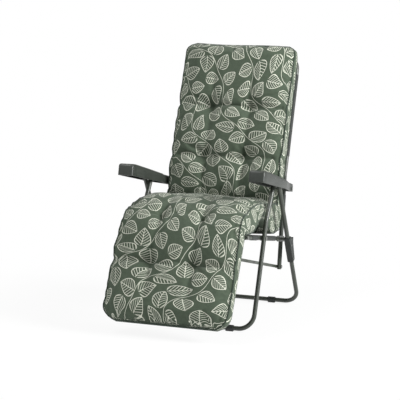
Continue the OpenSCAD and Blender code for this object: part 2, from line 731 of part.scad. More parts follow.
// Cushions: each is one closed skin of rings along a bed. A station is [bed place,
// direction from the bed to the top, thickness, half width, distance along, lift of
// the sides off the bed]. A ring goes over the crowned top with its sewn creases,
// round a bulged side, and back along the flat bed.
soft_cols = 14;
soft_n = 2 * soft_cols + 4;
crease_share = 0.45;
col_share = 0.6;
rim_drop = 18;
belly_share = 0.44;
tuft_col_share = 1 / 3;
crease_w = 26;
tuft_r = 42;
crown = 7;
rim_power = 6;
side_bulge = 4;
bed_in = 22;
arch_rise = 76;
function blend(a, b, k) = a + (b - a) * max(0, min(1, k));
function bell(d, w) = exp(-(d * d) / (w * w));
// How far the top sinks at a place, from the row and column creases and the tufts
function sink(s, x, rows) = let (col = cushion_w * tuft_col_share / 2,
        near_col = max(bell(x - col, crease_w), bell(x + col, crease_w)),
        near_row = max([for (r = rows) bell(s - r, crease_w)]),
        near_tuft = max([for (r = rows) max(bell(norm([s - r, x - col]), tuft_r),
            bell(norm([s - r, x + col]), tuft_r))]))
    tuft_depth * (crease_share * max(near_row, near_col * col_share)
        + (1 - crease_share) * near_tuft);
function soft_ring(st, rows) = let (up = step(1, st[1]), t = st[2], w = st[3], lift = st[5])
    concat(
        [for (i = [0:soft_cols]) let (x = w * (2 * i / soft_cols - 1), rim = pow(abs(x / w), rim_power))
            at(x, st[0] + up * (t + (crown - sink(st[4], x, rows)) * (1 - rim) - rim_drop * rim))],
        [at(w + side_bulge, st[0] + up * blend(lift, t, belly_share))],
        [for (i = [0:soft_cols]) let (x = (w - bed_in) * (1 - 2 * i / soft_cols))
            at(x, st[0] + up * lift * pow(x / w, 2))],
        [at(-w - side_bulge, st[0] + up * blend(lift, t, belly_share))]);
// Middle of the space that a ring spans in the side view
function ring_mid(st) = at(0, st[0] + step(st[2] / 2, st[1]));
module soft(stations, rows, turned_over = false) {
    last = len(stations) - 1;
    n = soft_n;
    faces = [for (k = [0:last - 1]) for (i = [0:n - 1]) let (a = k * n + i, b = k * n + (i + 1) % n)
        each [[a, a + n, b], [b, a + n, b + n]]];
    ends = [for (i = [0:n - 1]) each [[i, (i + 1) % n, (last + 1) * n],
        [last * n + (i + 1) % n, last * n + i, (last + 1) * n + 1]]];
    all = concat(faces, ends);
    polyhedron(points = concat(soft_points(stations, rows), [ring_mid(stations[0]), ring_mid(stations[last])]),
        faces = turned_over ? [for (f = all) [f[0], f[2], f[1]]] : all);
}
function soft_points(stations, rows) = [for (st = stations) for (p = soft_ring(st, rows)) p];
// An edge that rounds off over its last stretch
function ease(d, r) = d >= r ? 1 : sqrt(max(0, 1 - pow(1 - d / r, 2)));

// The crease between seat and back stands on the corner of their two beds
rail_out = step(1, rail_dir - 90);
low_out = step(1, low_dir + 90);
up_out = step(1, up_dir + 90);
foot_out = step(1, foot_dir - 90);
crease_ahead = 64;
crease_h = 172;
crease_top = back_hinge + [-crease_ahead, crease_h];
bed_corner = back_hinge + rail_out * bed_off + low_out * bed_off;
crease_dir = dir_of(crease_top - bed_corner);
crease_t = norm(crease_top - bed_corner) - 2 * crown;
crease_gap = step(soft_gap, crease_dir - 90);

// Back cushion: from the crease up the lower bed, round the bend and up to its top.
// Its rings lean over from the crease as fast as they can without crossing it.
back_rings = 28;
bed_start = (bed_corner - back_hinge) * step(1, low_dir);
back_len = back_low + back_up + back_over - bed_start;
back_row_shares = [0.38, 0.655];
back_rows = [for (r = back_row_shares) r * back_len];
top_round = 46;
thin_over = 150;
turn_share = 0.42;
bend_half = 60;
end_share = 0.35;
end_w_share = 0.9;
function back_bed(s) = s + bed_start < back_low
    ? back_hinge + step(s + bed_start, low_dir) + low_out * bed_off
    : back_bend + step(s + bed_start - back_low, up_dir) + up_out * bed_off;
function back_thick(s) = blend(crease_t, back_soft_t, s / thin_over);
function back_dir(s) = min(crease_dir + asin(min(1, turn_share * s / back_thick(s))),
    90 + blend(low_dir, up_dir, (s + bed_start - back_low + bend_half) / (2 * bend_half)));
back_stations = [for (i = [0:back_rings]) let (s = back_len * i / back_rings,
        e = ease(back_len - s + over, top_round))
    [back_bed(s) + crease_gap, back_dir(s), back_thick(s) * (end_share + (1 - end_share) * e),
        (half_w - side_bulge) * (end_w_share + (1 - end_w_share) * e), s, 0]];
module back_cushion() color(cushion_colour) placed() soft(back_stations, back_rows);

// Seat cushion: from the crease forward to the knee, its sides arched off the sling
seat_rings = 20;
seat_start = (bed_corner - back_hinge) * step(1, rail_dir);
seat_len = seat_front + seat_rear - seat_start;
seat_row_share = 0.55;
seat_rows = [seat_len * seat_row_share];
arch_share = 0.18;
seat_turn = 120;
function seat_bed(s) = back_hinge + step(seat_start + s, rail_dir) + rail_out * bed_off;
swell_place_share = 0.74;
swell_wide_share = 0.26;
function swell(s) = seat_swell * bell(s - seat_len * swell_place_share, seat_len * swell_wide_share)
    * min(1, (seat_len - s) / bed_in);
function arch(s) = arch_rise * bell(s - seat_rows[0], seat_len * arch_share);
seat_stations = [for (i = [0:seat_rings]) let (s = seat_len * i / seat_rings)
    [seat_bed(s) - crease_gap * (s == 0 ? 1 : 0), blend(crease_dir, rail_dir - 90, s / seat_turn),
        blend(crease_t, seat_soft_t, s / seat_len) + swell(s), half_w - side_bulge, s, arch(s)]];
module seat_cushion() color(cushion_colour) placed() soft(seat_stations, seat_rows, true);

// Knee cushion: a wedge round the footrest hinge that folds as the footrest moves
knee_rings = 6;
knee_from = rail_dir - 90;
knee_to = foot_dir - 90;
knee_pad = 1.5;
knee_soft_t = (seat_soft_t + foot_soft_t) / 2 + crown / 2;
// Length of the knee's top, along its curve
knee_arc = seat_soft_t * (knee_to - knee_from) * PI / 180;
knee_stations = [for (i = [0:knee_rings]) let (k = i / knee_rings,
        a = blend(knee_from + knee_pad, knee_to - knee_pad, k))
    [foot_hinge + step(bed_off, a), a, blend(seat_soft_t, knee_soft_t, k), half_w - side_bulge,
        seat_len + knee_arc * k, 0]];
module knee_cushion() color(cushion_colour) placed()
    soft(knee_stations, [seat_len + knee_arc / 2], true);

// Foot cushion: from the knee down past the footrest's bottom bar
foot_rings = 14;
foot_bed_len = foot_len + foot_over;
foot_row_shares = [0.36];
foot_rows = [for (r = foot_row_shares) r * foot_bed_len];
foot_round = 52;
thin_share = 0.4;
foot_stations = [for (i = [0:foot_rings]) let (s = foot_bed_len * i / foot_rings,
        e = ease(foot_bed_len - s + over, foot_round))
    [foot_hinge + step(s, foot_dir) + foot_out * bed_off, foot_dir - 90,
        blend(knee_soft_t, foot_soft_t, s / (foot_bed_len * thin_share)) * (end_share + (1 - end_share) * e),
        (half_w - side_bulge) * (end_w_share + (1 - end_w_share) * e), s, 0]];
module foot_cushion() color(cushion_colour) placed() soft(foot_stations, foot_rows, true);

// The middle of the chair's length, between the foot cushion and the back's top bar
front_most = min([for (p = soft_points(foot_stations, foot_rows)) p.y]);
rear_most = back_top.x + tube_r;
middle_y = -(front_most + rear_most) / 2;

front_leg_frame();
front_leg_caps();
front_foot_pads();
leg_pivot_pins();
seat_pivot_bolts();
seat_pivot_washers();
rear_leg_frame();
rear_leg_caps();
rear_foot_pads();
cradle_left();
cradle_right();
cradle_rivets();
seat_frame();
seat_rest_bar();
rest_bar_sleeves();
seat_tube_caps();
back_hinge_plates();
hinge_plate_rivets();
back_hinge_bolts();
footrest_hinge_bolts();
footrest_hinge_washers();
seat_sling();
seat_cushion();
knee_cushion();
back_frame();
back_tube_caps();
back_sling();
back_cushion();
armrest_bolts();
armrest_washers();
link_bolts();
footrest_frame();
footrest_caps();
footrest_sling();
foot_cushion();
link_pins();
link_left();
link_right();
armrest_left();
armrest_right();
rack_left();
rack_right();
rack_screws_left();
rack_screws_right();
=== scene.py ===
"""Padded folding garden lounger: the looks of its frame, armrests, slings and cushions.

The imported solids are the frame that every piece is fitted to. Lengths are in metres, X is
the sitter's left, the sitter faces -Y and the floor is at Z = 0.
"""

import logging
import math
from dataclasses import dataclass, field
from enum import Enum
from typing import Callable, Optional, Sequence

import bpy
import numpy as np
from mathutils import Matrix, Vector


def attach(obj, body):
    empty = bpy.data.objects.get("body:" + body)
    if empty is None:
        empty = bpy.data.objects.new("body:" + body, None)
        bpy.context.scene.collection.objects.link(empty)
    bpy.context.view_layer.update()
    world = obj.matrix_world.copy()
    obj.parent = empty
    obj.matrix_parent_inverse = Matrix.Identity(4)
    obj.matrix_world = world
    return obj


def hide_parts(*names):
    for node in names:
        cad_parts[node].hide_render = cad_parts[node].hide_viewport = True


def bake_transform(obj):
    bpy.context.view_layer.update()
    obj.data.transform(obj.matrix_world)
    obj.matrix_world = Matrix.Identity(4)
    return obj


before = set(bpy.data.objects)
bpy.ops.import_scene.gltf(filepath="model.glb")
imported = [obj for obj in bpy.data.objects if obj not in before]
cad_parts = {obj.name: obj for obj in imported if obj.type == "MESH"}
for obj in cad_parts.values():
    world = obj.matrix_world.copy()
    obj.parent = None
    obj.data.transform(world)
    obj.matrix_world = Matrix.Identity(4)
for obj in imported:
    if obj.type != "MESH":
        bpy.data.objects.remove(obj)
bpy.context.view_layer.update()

LOG = logging.getLogger("lounger")
Pair = tuple[float, float]
Colour = tuple[float, float, float, float]
Triple = tuple[float, float, float]
Array = np.ndarray
Obj, Material = bpy.types.Object, bpy.types.Material
Tree, Node, Socket = bpy.types.NodeTree, bpy.types.Node, bpy.types.NodeSocket


class Side(Enum):
    """The two sides of the lounger, by the sign of X."""

    LEFT = 1
    RIGHT = -1


class Slot(Enum):
    """Names of the record's material slots for the scene's own pieces; this script gives them to
    no piece.
    """

    ARMREST = "armrest_plastic"
    SLING = "sling_fabric"
    CUSHION = "cushion_fabric"


# ---------------------------------------------------------------- side-view geometry


def step(length: float, degrees: float) -> Array:
    """Returns a side-view [y, z] step of a length in a direction."""
    turn = math.radians(degrees)
    return np.array([length * math.cos(turn), length * math.sin(turn)])


@dataclass
class Profile:
    """Places of the lounger in the side view, as the solids have them."""

    seat_slope: float = 9.8
    low_lean: float = 8.6
    up_lean: float = 19.4
    foot_lean: float = 26.5
    back_hinge: Array = field(default_factory=lambda: np.array([0.2314, 0.3009]))
    foot_hinge: Array = field(default_factory=lambda: np.array([-0.2248, 0.3797]))
    low_len: float = 0.262
    up_len: float = 0.520
    foot_len: float = 0.348
    seat_x: float = 0.244
    foot_x: float = 0.222
    tube_r: float = 0.009
    bed_off: float = 0.01065

    @property
    def rail_dir(self) -> float:
        """Direction of the seat tubes, from the rear to the front."""
        return 180 - self.seat_slope

    @property
    def low_dir(self) -> float:
        """Direction of the lower back tubes, upwards."""
        return 90 - self.low_lean

    @property
    def up_dir(self) -> float:
        """Direction of the upper back tubes, upwards."""
        return 90 - self.up_lean

    @property
    def foot_dir(self) -> float:
        """Direction of the footrest's tubes, downwards."""
        return 270 - self.foot_lean

    @property
    def back_bend(self) -> Array:
        """Place of the bend in the back's tubes."""
        return self.back_hinge + step(self.low_len, self.low_dir)

    @property
    def bed_corner(self) -> Array:
        """Where the seat's bed meets the back's bed."""
        return (self.back_hinge + step(self.bed_off, self.rail_dir - 90)
                + step(self.bed_off, self.low_dir + 90))


PROFILE = Profile()


# ---------------------------------------------------------------- modelling helpers


def deselect() -> None:
    """Leaves object mode with nothing selected."""
    if bpy.context.mode != "OBJECT":
        bpy.ops.object.mode_set(mode="OBJECT")
    bpy.ops.object.select_all(action="DESELECT")


def only(obj: Obj) -> Obj:
    """Selects one object alone and makes it active.

    Args:
        obj: The object.

    Returns:
        The same object.
    """
    deselect()
    obj.select_set(True)
    bpy.context.view_layer.objects.active = obj
    return obj


def linked(name: str, data: bpy.types.ID) -> Obj:
    """Puts a mesh, curve, camera or lamp into the scene as an object.

    Args:
        name: The object's name.
        data: The mesh, curve, camera or lamp.

    Returns:
        The new object.
    """
    obj = bpy.data.objects.new(name, data)
    bpy.context.collection.objects.link(obj)
    return obj


def settle(obj: Obj, name: str) -> Obj:
    """Names an object and puts its place, turn and scale into its mesh.

    Args:
        obj: The object that was just modelled.
        name: The name of the finished piece.

    Returns:
        The same object, at the origin, unturned and unscaled.
    """
    only(obj)
    if obj.type != "MESH":
        bpy.ops.object.convert(target="MESH")
        obj = bpy.context.view_layer.objects.active
    bpy.ops.object.transform_apply(location=True, rotation=True, scale=True)
    obj.name = obj.data.name = name
    return obj


def apply_modifiers(obj: Obj) -> None:
    """Applies every modifier of an object in order.

    Args:
        obj: The object.
    """
    only(obj)
    for modifier in list(obj.modifiers):
        bpy.ops.object.modifier_apply(modifier=modifier.name)


def mend_normals(obj: Obj) -> None:
    """Merges doubles and turns a closed mesh's faces outwards.

    Args:
        obj: The mesh's object.
    """
    only(obj)
    bpy.ops.object.mode_set(mode="EDIT")
    bpy.ops.mesh.select_all(action="SELECT")
    bpy.ops.mesh.remove_doubles(threshold=1e-5)
    bpy.ops.mesh.normals_make_consistent(inside=False)
    bpy.ops.object.mode_set(mode="OBJECT")


def smooth(obj: Obj, degrees: float = 35.0) -> None:
    """Shades an object smooth, apart from edges sharper than an angle."""
    only(obj)
    bpy.ops.object.shade_smooth_by_angle(angle=math.radians(degrees))


def copy_of(obj: Obj, name: str, place: Matrix) -> Obj:
    """Copies an object with a mesh of its own.

    Args:
        obj: The piece to copy.
        name: The copy's name.
        place: The transform that goes into the copy's mesh.

    Returns:
        The copy, at the origin.
    """
    twin = linked(name, obj.data.copy())
    twin.data.transform(place)
    twin.name = twin.data.name = name
    if place.determinant() < 0:
        twin.data.flip_normals()
    return twin


def joined(parts: Sequence[Obj], name: str) -> Obj:
    """Joins settled parts into one piece with a name.

    Args:
        parts: The parts, which end as one object.
        name: The piece's name.

    Returns:
        The piece, at the origin.
    """
    only(parts[0])
    for part in parts:
        part.select_set(True)
    bpy.ops.object.join()
    return settle(bpy.context.view_layer.objects.active, name)


def mesh_of(name: str, points: Array, faces: Sequence[Sequence[int]]) -> Obj:
    """Makes an object from points and faces.

    Args:
        name: The object's name.
        points: One row of X, Y and Z for each point.
        faces: The point numbers of each face.

    Returns:
        The new object, linked to the scene.
    """
    mesh = bpy.data.meshes.new(name)
    mesh.from_pydata([tuple(p) for p in points], [], [tuple(f) for f in faces])
    mesh.validate()
    return linked(name, mesh)


def trim_along(name: str, points: Array, radius: float) -> Obj:
    """Sweeps a round trim with closed ends along points.

    Args:
        name: The trim's name.
        points: The places that its middle follows.
        radius: Its radius.

    Returns:
        The trim as a mesh at the origin.
    """
    deselect()
    curve = bpy.data.curves.new(name, "CURVE")
    curve.dimensions = "3D"
    curve.bevel_depth, curve.bevel_resolution = radius, 3
    curve.use_fill_caps = True
    spline = curve.splines.new("POLY")
    spline.points.add(len(points) - 1)
    for point, place in zip(spline.points, points):
        point.co = (*place, 1.0)
    obj = settle(linked(name, curve), name)
    smooth(obj, 60)
    return obj


def coords(obj: Obj) -> Array:
    """Returns an object's vertex places as an array.

    Args:
        obj: A mesh object.

    Returns:
        One row of X, Y and Z for each vertex.
    """
    flat = np.empty(len(obj.data.vertices) * 3, dtype=np.float64)
    obj.data.vertices.foreach_get("co", flat)
    return flat.reshape(-1, 3)


def set_coords(obj: Obj, points: Array) -> None:
    """Moves an object's vertices to new places."""
    obj.data.vertices.foreach_set("co", points.astype(np.float32).ravel())
    obj.data.update()


def lay_cloth(obj: Obj, u: Array, v: Array) -> None:
    """Gives an object its fabric map, in metres, from two values for each vertex.

    Args:
        obj: A mesh object.
        u: Each vertex's place across the cloth.
        v: Each vertex's place along the cloth.
    """
    uv = obj.data.uv_layers.get("cloth") or obj.data.uv_layers.new(name="cloth")
    corners = np.empty(len(obj.data.loops), dtype=np.int32)
    obj.data.loops.foreach_get("vertex_index", corners)
    flat = np.stack([u[corners], v[corners]], axis=1)
    uv.data.foreach_set("uv", flat.astype(np.float32).ravel())


def smoothstep(value: Array) -> Array:
    """Returns a smooth 0 to 1 ramp of a value."""
    k = np.clip(value, 0, 1)
    return k * k * (3 - 2 * k)


def blend(a: float, b: float, k: float) -> float:
    """Returns the value between a and b at a share, held at both ends."""
    return a + (b - a) * max(0.0, min(1.0, k))


# ---------------------------------------------------------------- node helpers


class Graph:
    """Short calls that add linked nodes to one node tree."""

    def __init__(self, tree: Tree) -> None:
        """Empties the tree and keeps it."""
        self.tree = tree
        tree.nodes.clear()

    def add(self, kind: str, **settings: object) -> Node:
        """Adds a node of a kind with its settings.

        Args:
            kind: The node's type.
            **settings: Values of its own fields.

        Returns:
            The new node.
        """
        node = self.tree.nodes.new(kind)
        for key, value in settings.items():
            setattr(node, key, value)
        return node

    def feed(self, node: Node, **values: object) -> Node:
        """Links or sets a node's inputs by name.

        Args:
            node: The node whose inputs are fed.
            **values: A socket to link or a value to set, by input name with spaces as _.

        Returns:
            The same node.
        """
        for key, value in values.items():
            self.put(value, node.inputs[key.replace("_", " ")])
        return node

    def put(self, value: object, socket: Socket) -> None:
        """Links a term or a socket to an input, or sets the input to a plain value.

        Args:
            value: The term, the socket or the plain value.
            socket: The input.
        """
        value = value.value if isinstance(value, Term) else value
        if isinstance(value, Socket):
            self.tree.links.new(value, socket)
        else:
            socket.default_value = value

    def line(self, kind: str, values: Sequence[object], **settings: object) -> "Term":
        """Adds a node, feeds its inputs in order and returns its first output as a term.

        Args:
            kind: The node's type.
            values: What goes into its inputs, in order.
            **settings: Values of its own fields.

        Returns:
            Its first output.
        """
        node = self.add(kind, **settings)
        for socket, value in zip(node.inputs, values):
            self.put(value, socket)
        return Term(self, node.outputs[0])

    def band(self, value: object, low: float, high: float, start: float = 0.0,
             end: float = 1.0) -> "Term":
        """Maps a value smoothly from low and high to start and end.

        Args:
            value: The value.
            low: Where the ramp begins.
            high: Where the ramp ends.
            start: The result at low and below.
            end: The result at high and above.

        Returns:
            The mapped value.
        """
        return self.line("ShaderNodeMapRange", (value, low, high, start, end),
                         interpolation_type="SMOOTHSTEP")

    def split(self, vector: object) -> tuple["Term", "Term", "Term"]:
        """Returns the three parts of a vector or a colour.

        Args:
            vector: The vector or the colour.

        Returns:
            Its X, Y and Z, or red, green and blue.
        """
        node = self.add("ShaderNodeSeparateXYZ")
        self.put(vector, node.inputs[0])
        return tuple(Term(self, node.outputs[i]) for i in range(3))

    def mix(self, factor: object, first: object, second: object) -> Socket:
        """Mixes two colours and returns the result.

        Args:
            factor: The second colour's share.
            first: The colour at 0.
            second: The colour at 1.

        Returns:
            The mixed colour.
        """
        node = self.add("ShaderNodeMix", data_type="RGBA", clamp_factor=True)
        for index, value in ((0, factor), (6, first), (7, second)):
            self.put(value, node.inputs[index])
        return node.outputs[2]

    def noise(self, vector: object, scale: object, detail: float = 3.0,
              roughness: float = 0.55) -> Socket:
        """Adds a noise texture and returns its value.

        Args:
            vector: The places that it reads.
            scale: Its waves in a metre.
            detail: How many finer layers it has.
            roughness: How strong they are.

        Returns:
            The noise, about 0.5 on average.
        """
        node = self.add("ShaderNodeTexNoise")
        self.feed(node, Vector=vector, Scale=scale, Detail=detail, Roughness=roughness)
        return node.outputs["Fac"]

    def group(self, tree: Tree, **values: object) -> list["Term"]:
        """Places a node group with its own values and returns its outputs."""
        node = self.feed(self.add("ShaderNodeGroup", node_tree=tree), **values)
        return [Term(self, socket) for socket in node.outputs]


class Term:
    """A socket in a shader's sums, so that node maths reads as plain maths."""

    def __init__(self, graph: Graph, value: object) -> None:
        """Keeps a socket with the graph that its sums are added to."""
        self.graph, self.value = graph, value

    def calc(self, operation: str, *values: object, clamp: bool = False) -> "Term":
        """Adds a Math node on this term and others, and returns its result."""
        return self.graph.line("ShaderNodeMath", (self, *values), operation=operation,
                               use_clamp=clamp)

    def __add__(self, other: object) -> "Term":
        """Returns the sum."""
        return self.calc("ADD", other)

    def __sub__(self, other: object) -> "Term":
        """Returns the difference."""
        return self.calc("SUBTRACT", other)

    def __rsub__(self, other: float) -> "Term":
        """Returns a number less this term."""
        return self.graph.line("ShaderNodeMath", (other, self), operation="SUBTRACT")

    def __mul__(self, other: object) -> "Term":
        """Returns the product."""
        return self.calc("MULTIPLY", other)

    def __truediv__(self, other: object) -> "Term":
        """Returns the quotient."""
        return self.calc("DIVIDE", other)

    def __pow__(self, power: float) -> "Term":
        """Returns the term to a power."""
        return self.calc("POWER", power)

    def __abs__(self) -> "Term":
        """Returns the term without its sign."""
        return self.calc("ABSOLUTE")


def new_group(name: str, inputs: Sequence[tuple[str, str, object]],
              outputs: Sequence[str]) -> tuple[Graph, list[Term], Node]:
    """Starts a shader node group.

    Args:
        name: The group's name.
        inputs: Name, socket kind and default value of each input.
        outputs: Name of each output, all of which are numbers.

    Returns:
        Its graph, its inputs as terms and its output node.
    """
    tree = bpy.data.node_groups.new(name, "ShaderNodeTree")
    graph = Graph(tree)
    for label, kind, default in inputs:
        socket = tree.interface.new_socket(label, in_out="INPUT", socket_type=kind)
        if default is not None:
            socket.default_value = default
    for label in outputs:
        tree.interface.new_socket(label, in_out="OUTPUT", socket_type=FLOAT)
    entry, out = graph.add("NodeGroupInput"), graph.add("NodeGroupOutput")
    return graph, [Term(graph, socket) for socket in entry.outputs[:len(inputs)]], out


FLOAT = "NodeSocketFloat"
VECTOR = "NodeSocketVector"


@dataclass(frozen=True)
class LeafPrint:
    """A common leaf print: veined leaves set along wandering stems, in metres.

    Each stem is the middle of a band, cut along its length into cells with one leaf a side.
    A leaf has an outline, a midrib and slanting side veins.
    """

    cell: float = 0.072
    leaf: float = 0.0665
    line: float = 0.00118
    turn: float = 57.0
    stem_bends: tuple[Triple, ...] = ((15.3, 0.0, 0.034), (37.0, 1.3, 0.009))
    row_shift: float = 0.031
    side_shift: float = 0.018
    scatter: float = 0.008
    leaf_turn: Pair = (4.4, 0.4)
    leaf_size: Pair = (0.22, 0.86)
    leaf_powers: Pair = (0.56, 0.95)
    leaf_width: float = 1.15
    veins: float = 6.3
    vein_slant: float = 0.8
    soft_edge: float = 0.35
    stem_line: float = 0.5
    rim_line: float = 0.85
    rib_line: float = 0.6
    vein_line: float = 0.62

    def build(self) -> Tree:
        """Makes the print's node group.

        Returns:
            The group, whose output is 1 on a printed line and 0 on bare cloth.
        """
        graph, (place, cell, leaf, line), out = new_group(
            "leaf_print", [("Vector", VECTOR, None), ("Cell", FLOAT, self.cell),
                           ("Leaf", FLOAT, self.leaf), ("Line", FLOAT, self.line)], ["Print"])
        turned = graph.add("ShaderNodeVectorRotate", rotation_type="Z_AXIS")
        graph.feed(turned, Vector=place, Angle=math.radians(self.turn))
        along, wander, _ = graph.split(turned.outputs[0])
        for rate, start, reach in self.stem_bends:
            wander = wander + (along * rate + start).calc("SINE") * reach
        band = cell * 2.0
        row = (wander / band).calc("FLOOR")
        off_stem = wander - (row + 0.5) * band
        side = off_stem.calc("SIGN")
        shifted = along + row * self.row_shift + side * self.side_shift
        column = (shifted / cell).calc("FLOOR")
        ahead = shifted - (column + 0.5) * cell
        one, two, three = self.dice(graph, column, row, side)
        x = ahead + (one - 0.5) * self.scatter
        y = abs(off_stem) - cell * 0.5
        angle = (two - 0.5) * self.leaf_turn[0] + self.leaf_turn[1]
        sine, cosine = angle.calc("SINE"), angle.calc("COSINE")
        length = leaf * (three * self.leaf_size[0] + self.leaf_size[1])
        run = (x * sine + y * cosine) / length + 0.5
        off_rib = abs(x * cosine - y * sine)
        held_run = run.calc("ADD", 0.0, clamp=True)
        shape = held_run ** self.leaf_powers[0] * (1.0 - held_run) ** self.leaf_powers[1]
        within = shape * length * self.leaf_width - off_rib
        on_run = run.calc("GREATER_THAN", 0.0) * run.calc("LESS_THAN", 1.0)
        gap = length / self.veins
        slant = run * length - off_rib * self.vein_slant
        off_vein = abs((slant / gap).calc("FRACT") - 0.5) * gap
        in_leaf = within.calc("GREATER_THAN", 0.0) * on_run
        marks = self.stroke(abs(off_stem), line * self.stem_line, line)
        for mark in (self.stroke(abs(within), line * self.rim_line, line) * on_run,
                     self.stroke(off_rib, line * self.rib_line, line) * on_run,
                     self.stroke(off_vein, line * self.vein_line, line) * in_leaf):
            marks = marks.calc("MAXIMUM", mark)
        graph.feed(out, Print=marks)
        return graph.tree

    @staticmethod
    def dice(graph: Graph, column: Term, row: Term, side: Term) -> tuple[Term, Term, Term]:
        """Rolls three random numbers for each leaf's cell.

        Args:
            graph: The print's graph.
            column: The cell's number along its stem.
            row: The stem's number.
            side: The side of the stem, -1 or 1.

        Returns:
            Three numbers from 0 to 1.
        """
        key = graph.feed(graph.add("ShaderNodeCombineXYZ"), X=column, Y=row, Z=side)
        noise = graph.add("ShaderNodeTexWhiteNoise", noise_dimensions="3D")
        graph.feed(noise, Vector=key.outputs[0])
        return graph.split(noise.outputs["Color"])

    def stroke(self, distance: Term, half: Term, line: Term) -> Term:
        """Draws a line where a distance is under its half width, with a soft edge outside.

        Args:
            distance: How far a place is from the line's middle.
            half: The line's half width.
            line: The print's line width.

        Returns:
            1 on the line and 0 off it.
        """
        return 1.0 - (distance - half).calc("DIVIDE", line * self.soft_edge, clamp=True)


# Where dust settles on a skin: the scale, detail and roughness of its specks, the range of
# the noise that shows them, and how far a face has to look up.
DUST_NOISE = (60.0, 5.0, 0.7)
DUST_RANGE = (0.42, 0.68)
DUST_SLOPE = (0.5, 1.0)


def grain_group() -> Tree:
    """Makes a moulded or sprayed skin's group: fine grain, broad mottle and settled dust.

    Returns:
        The group, with one output for each.
    """
    graph, (place, fine, broad), out = new_group(
        "skin_grain", [("Vector", VECTOR, None), ("Grain Scale", FLOAT, 900.0),
                       ("Mottle Scale", FLOAT, 18.0)], ["Grain", "Mottle", "Dust"])
    upward = graph.split(graph.add("ShaderNodeNewGeometry").outputs["Normal"])[2]
    specks = graph.band(graph.noise(place, *DUST_NOISE), *DUST_RANGE)
    graph.feed(out, Grain=graph.noise(place, fine, 2.0),
               Mottle=graph.noise(place, broad, 4.0, 0.6),
               Dust=graph.band(upward, *DUST_SLOPE) * specks)
    return graph.tree


def weave_group() -> Tree:
    """Makes a plain weave's group: crossing yarns that pass over and under each other.

    Returns:
        The group, whose outputs are the yarns' height, the gaps and the thicker yarns.
    """
    graph, (place, yarns), out = new_group(
        "plain_weave", [("Vector", VECTOR, None), ("Yarns", FLOAT, 1200.0)],
        ["Height", "Gap", "Slub"])
    warp, weft = ((part * yarns * math.pi).calc("SINE") for part in graph.split(place)[:2])
    cross = warp * weft
    graph.feed(out, Height=cross * 0.5 + 0.5, Gap=graph.band(abs(cross), 0.0, 0.35, 1.0, 0.0),
               Slub=graph.noise(place, 70.0, 4.0, 0.65))
    return graph.tree


class Effects:
    """The shader effects that several finishes share, each built once."""

    def __init__(self) -> None:
        """Builds the groups."""
        self.grain = grain_group()
        self.weave = weave_group()
        self.leaves = LeafPrint().build()


# ---------------------------------------------------------------- finishes


def srgb(red: int, green: int, blue: int) -> Colour:
    """Returns the linear colour of an sRGB one given in 0 to 255.

    Args:
        red: Its red part.
        green: Its green part.
        blue: Its blue part.

    Returns:
        The colour as the shaders take it, with a full alpha.
    """
    parts = [value / 255 for value in (red, green, blue)]
    linear = [p / 12.92 if p <= 0.04045 else ((p + 0.055) / 1.055) ** 2.4 for p in parts]
    return (linear[0], linear[1], linear[2], 1.0)


def surface(name: str) -> tuple[Material, Graph, Node]:
    """Starts a material.

    Args:
        name: The material's name.

    Returns:
        The material, its graph and its Principled shader.
    """
    material = bpy.data.materials.new(name)
    material.use_nodes = True
    graph = Graph(material.node_tree)
    shader = graph.add("ShaderNodeBsdfPrincipled")
    graph.feed(graph.add("ShaderNodeOutputMaterial"), Surface=shader.outputs[0])
    return material, graph, shader


def bump(graph: Graph, height: object, depth: float, strength: float = 1.0,
         under: Optional[Socket] = None) -> Socket:
    """Turns a height into a normal.

    Args:
        graph: The material's graph.
        height: The height, in shares of the depth.
        depth: The height's reach in metres.
        strength: How strongly the height shows.
        under: A coarser normal that this one lies on.

    Returns:
        The normal.
    """
    node = graph.feed(graph.add("ShaderNodeBump"), Height=height, Distance=depth,
                      Strength=strength)
    if under is not None:
        graph.put(under, node.inputs["Normal"])
    return node.outputs[0]


@dataclass(frozen=True)
class Skin:
    """A coated, moulded or plated finish with grain, mottle and dust."""

    name: str
    colour: Colour
    shade: Colour
    roughness: Pair
    metallic: float = 0.0
    grain_scale: float = 900.0
    grain_depth: float = 0.00008
    dust: float = 0.12
    dust_colour: Colour = srgb(150, 150, 138)
    coat: float = 0.0

    def build(self, effects: Effects) -> Material:
        """Builds the material from the shared shader groups.

        Args:
            effects: The shared shader groups.

        Returns:
            The material.
        """
        material, graph, shader = surface(self.name)
        place = graph.add("ShaderNodeTexCoord").outputs["Object"]
        grain, mottle, dust = graph.group(effects.grain, Vector=place,
                                          Grain_Scale=self.grain_scale)
        base = graph.mix(graph.band(mottle, 0.3, 0.7), self.colour, self.shade)
        graph.feed(shader, Base_Color=graph.mix(dust * self.dust, base, self.dust_colour),
                   Roughness=graph.band(grain, 0.3, 0.7, *self.roughness), Metallic=self.metallic,
                   Coat_Weight=self.coat, Normal=bump(graph, grain, self.grain_depth))
        return material


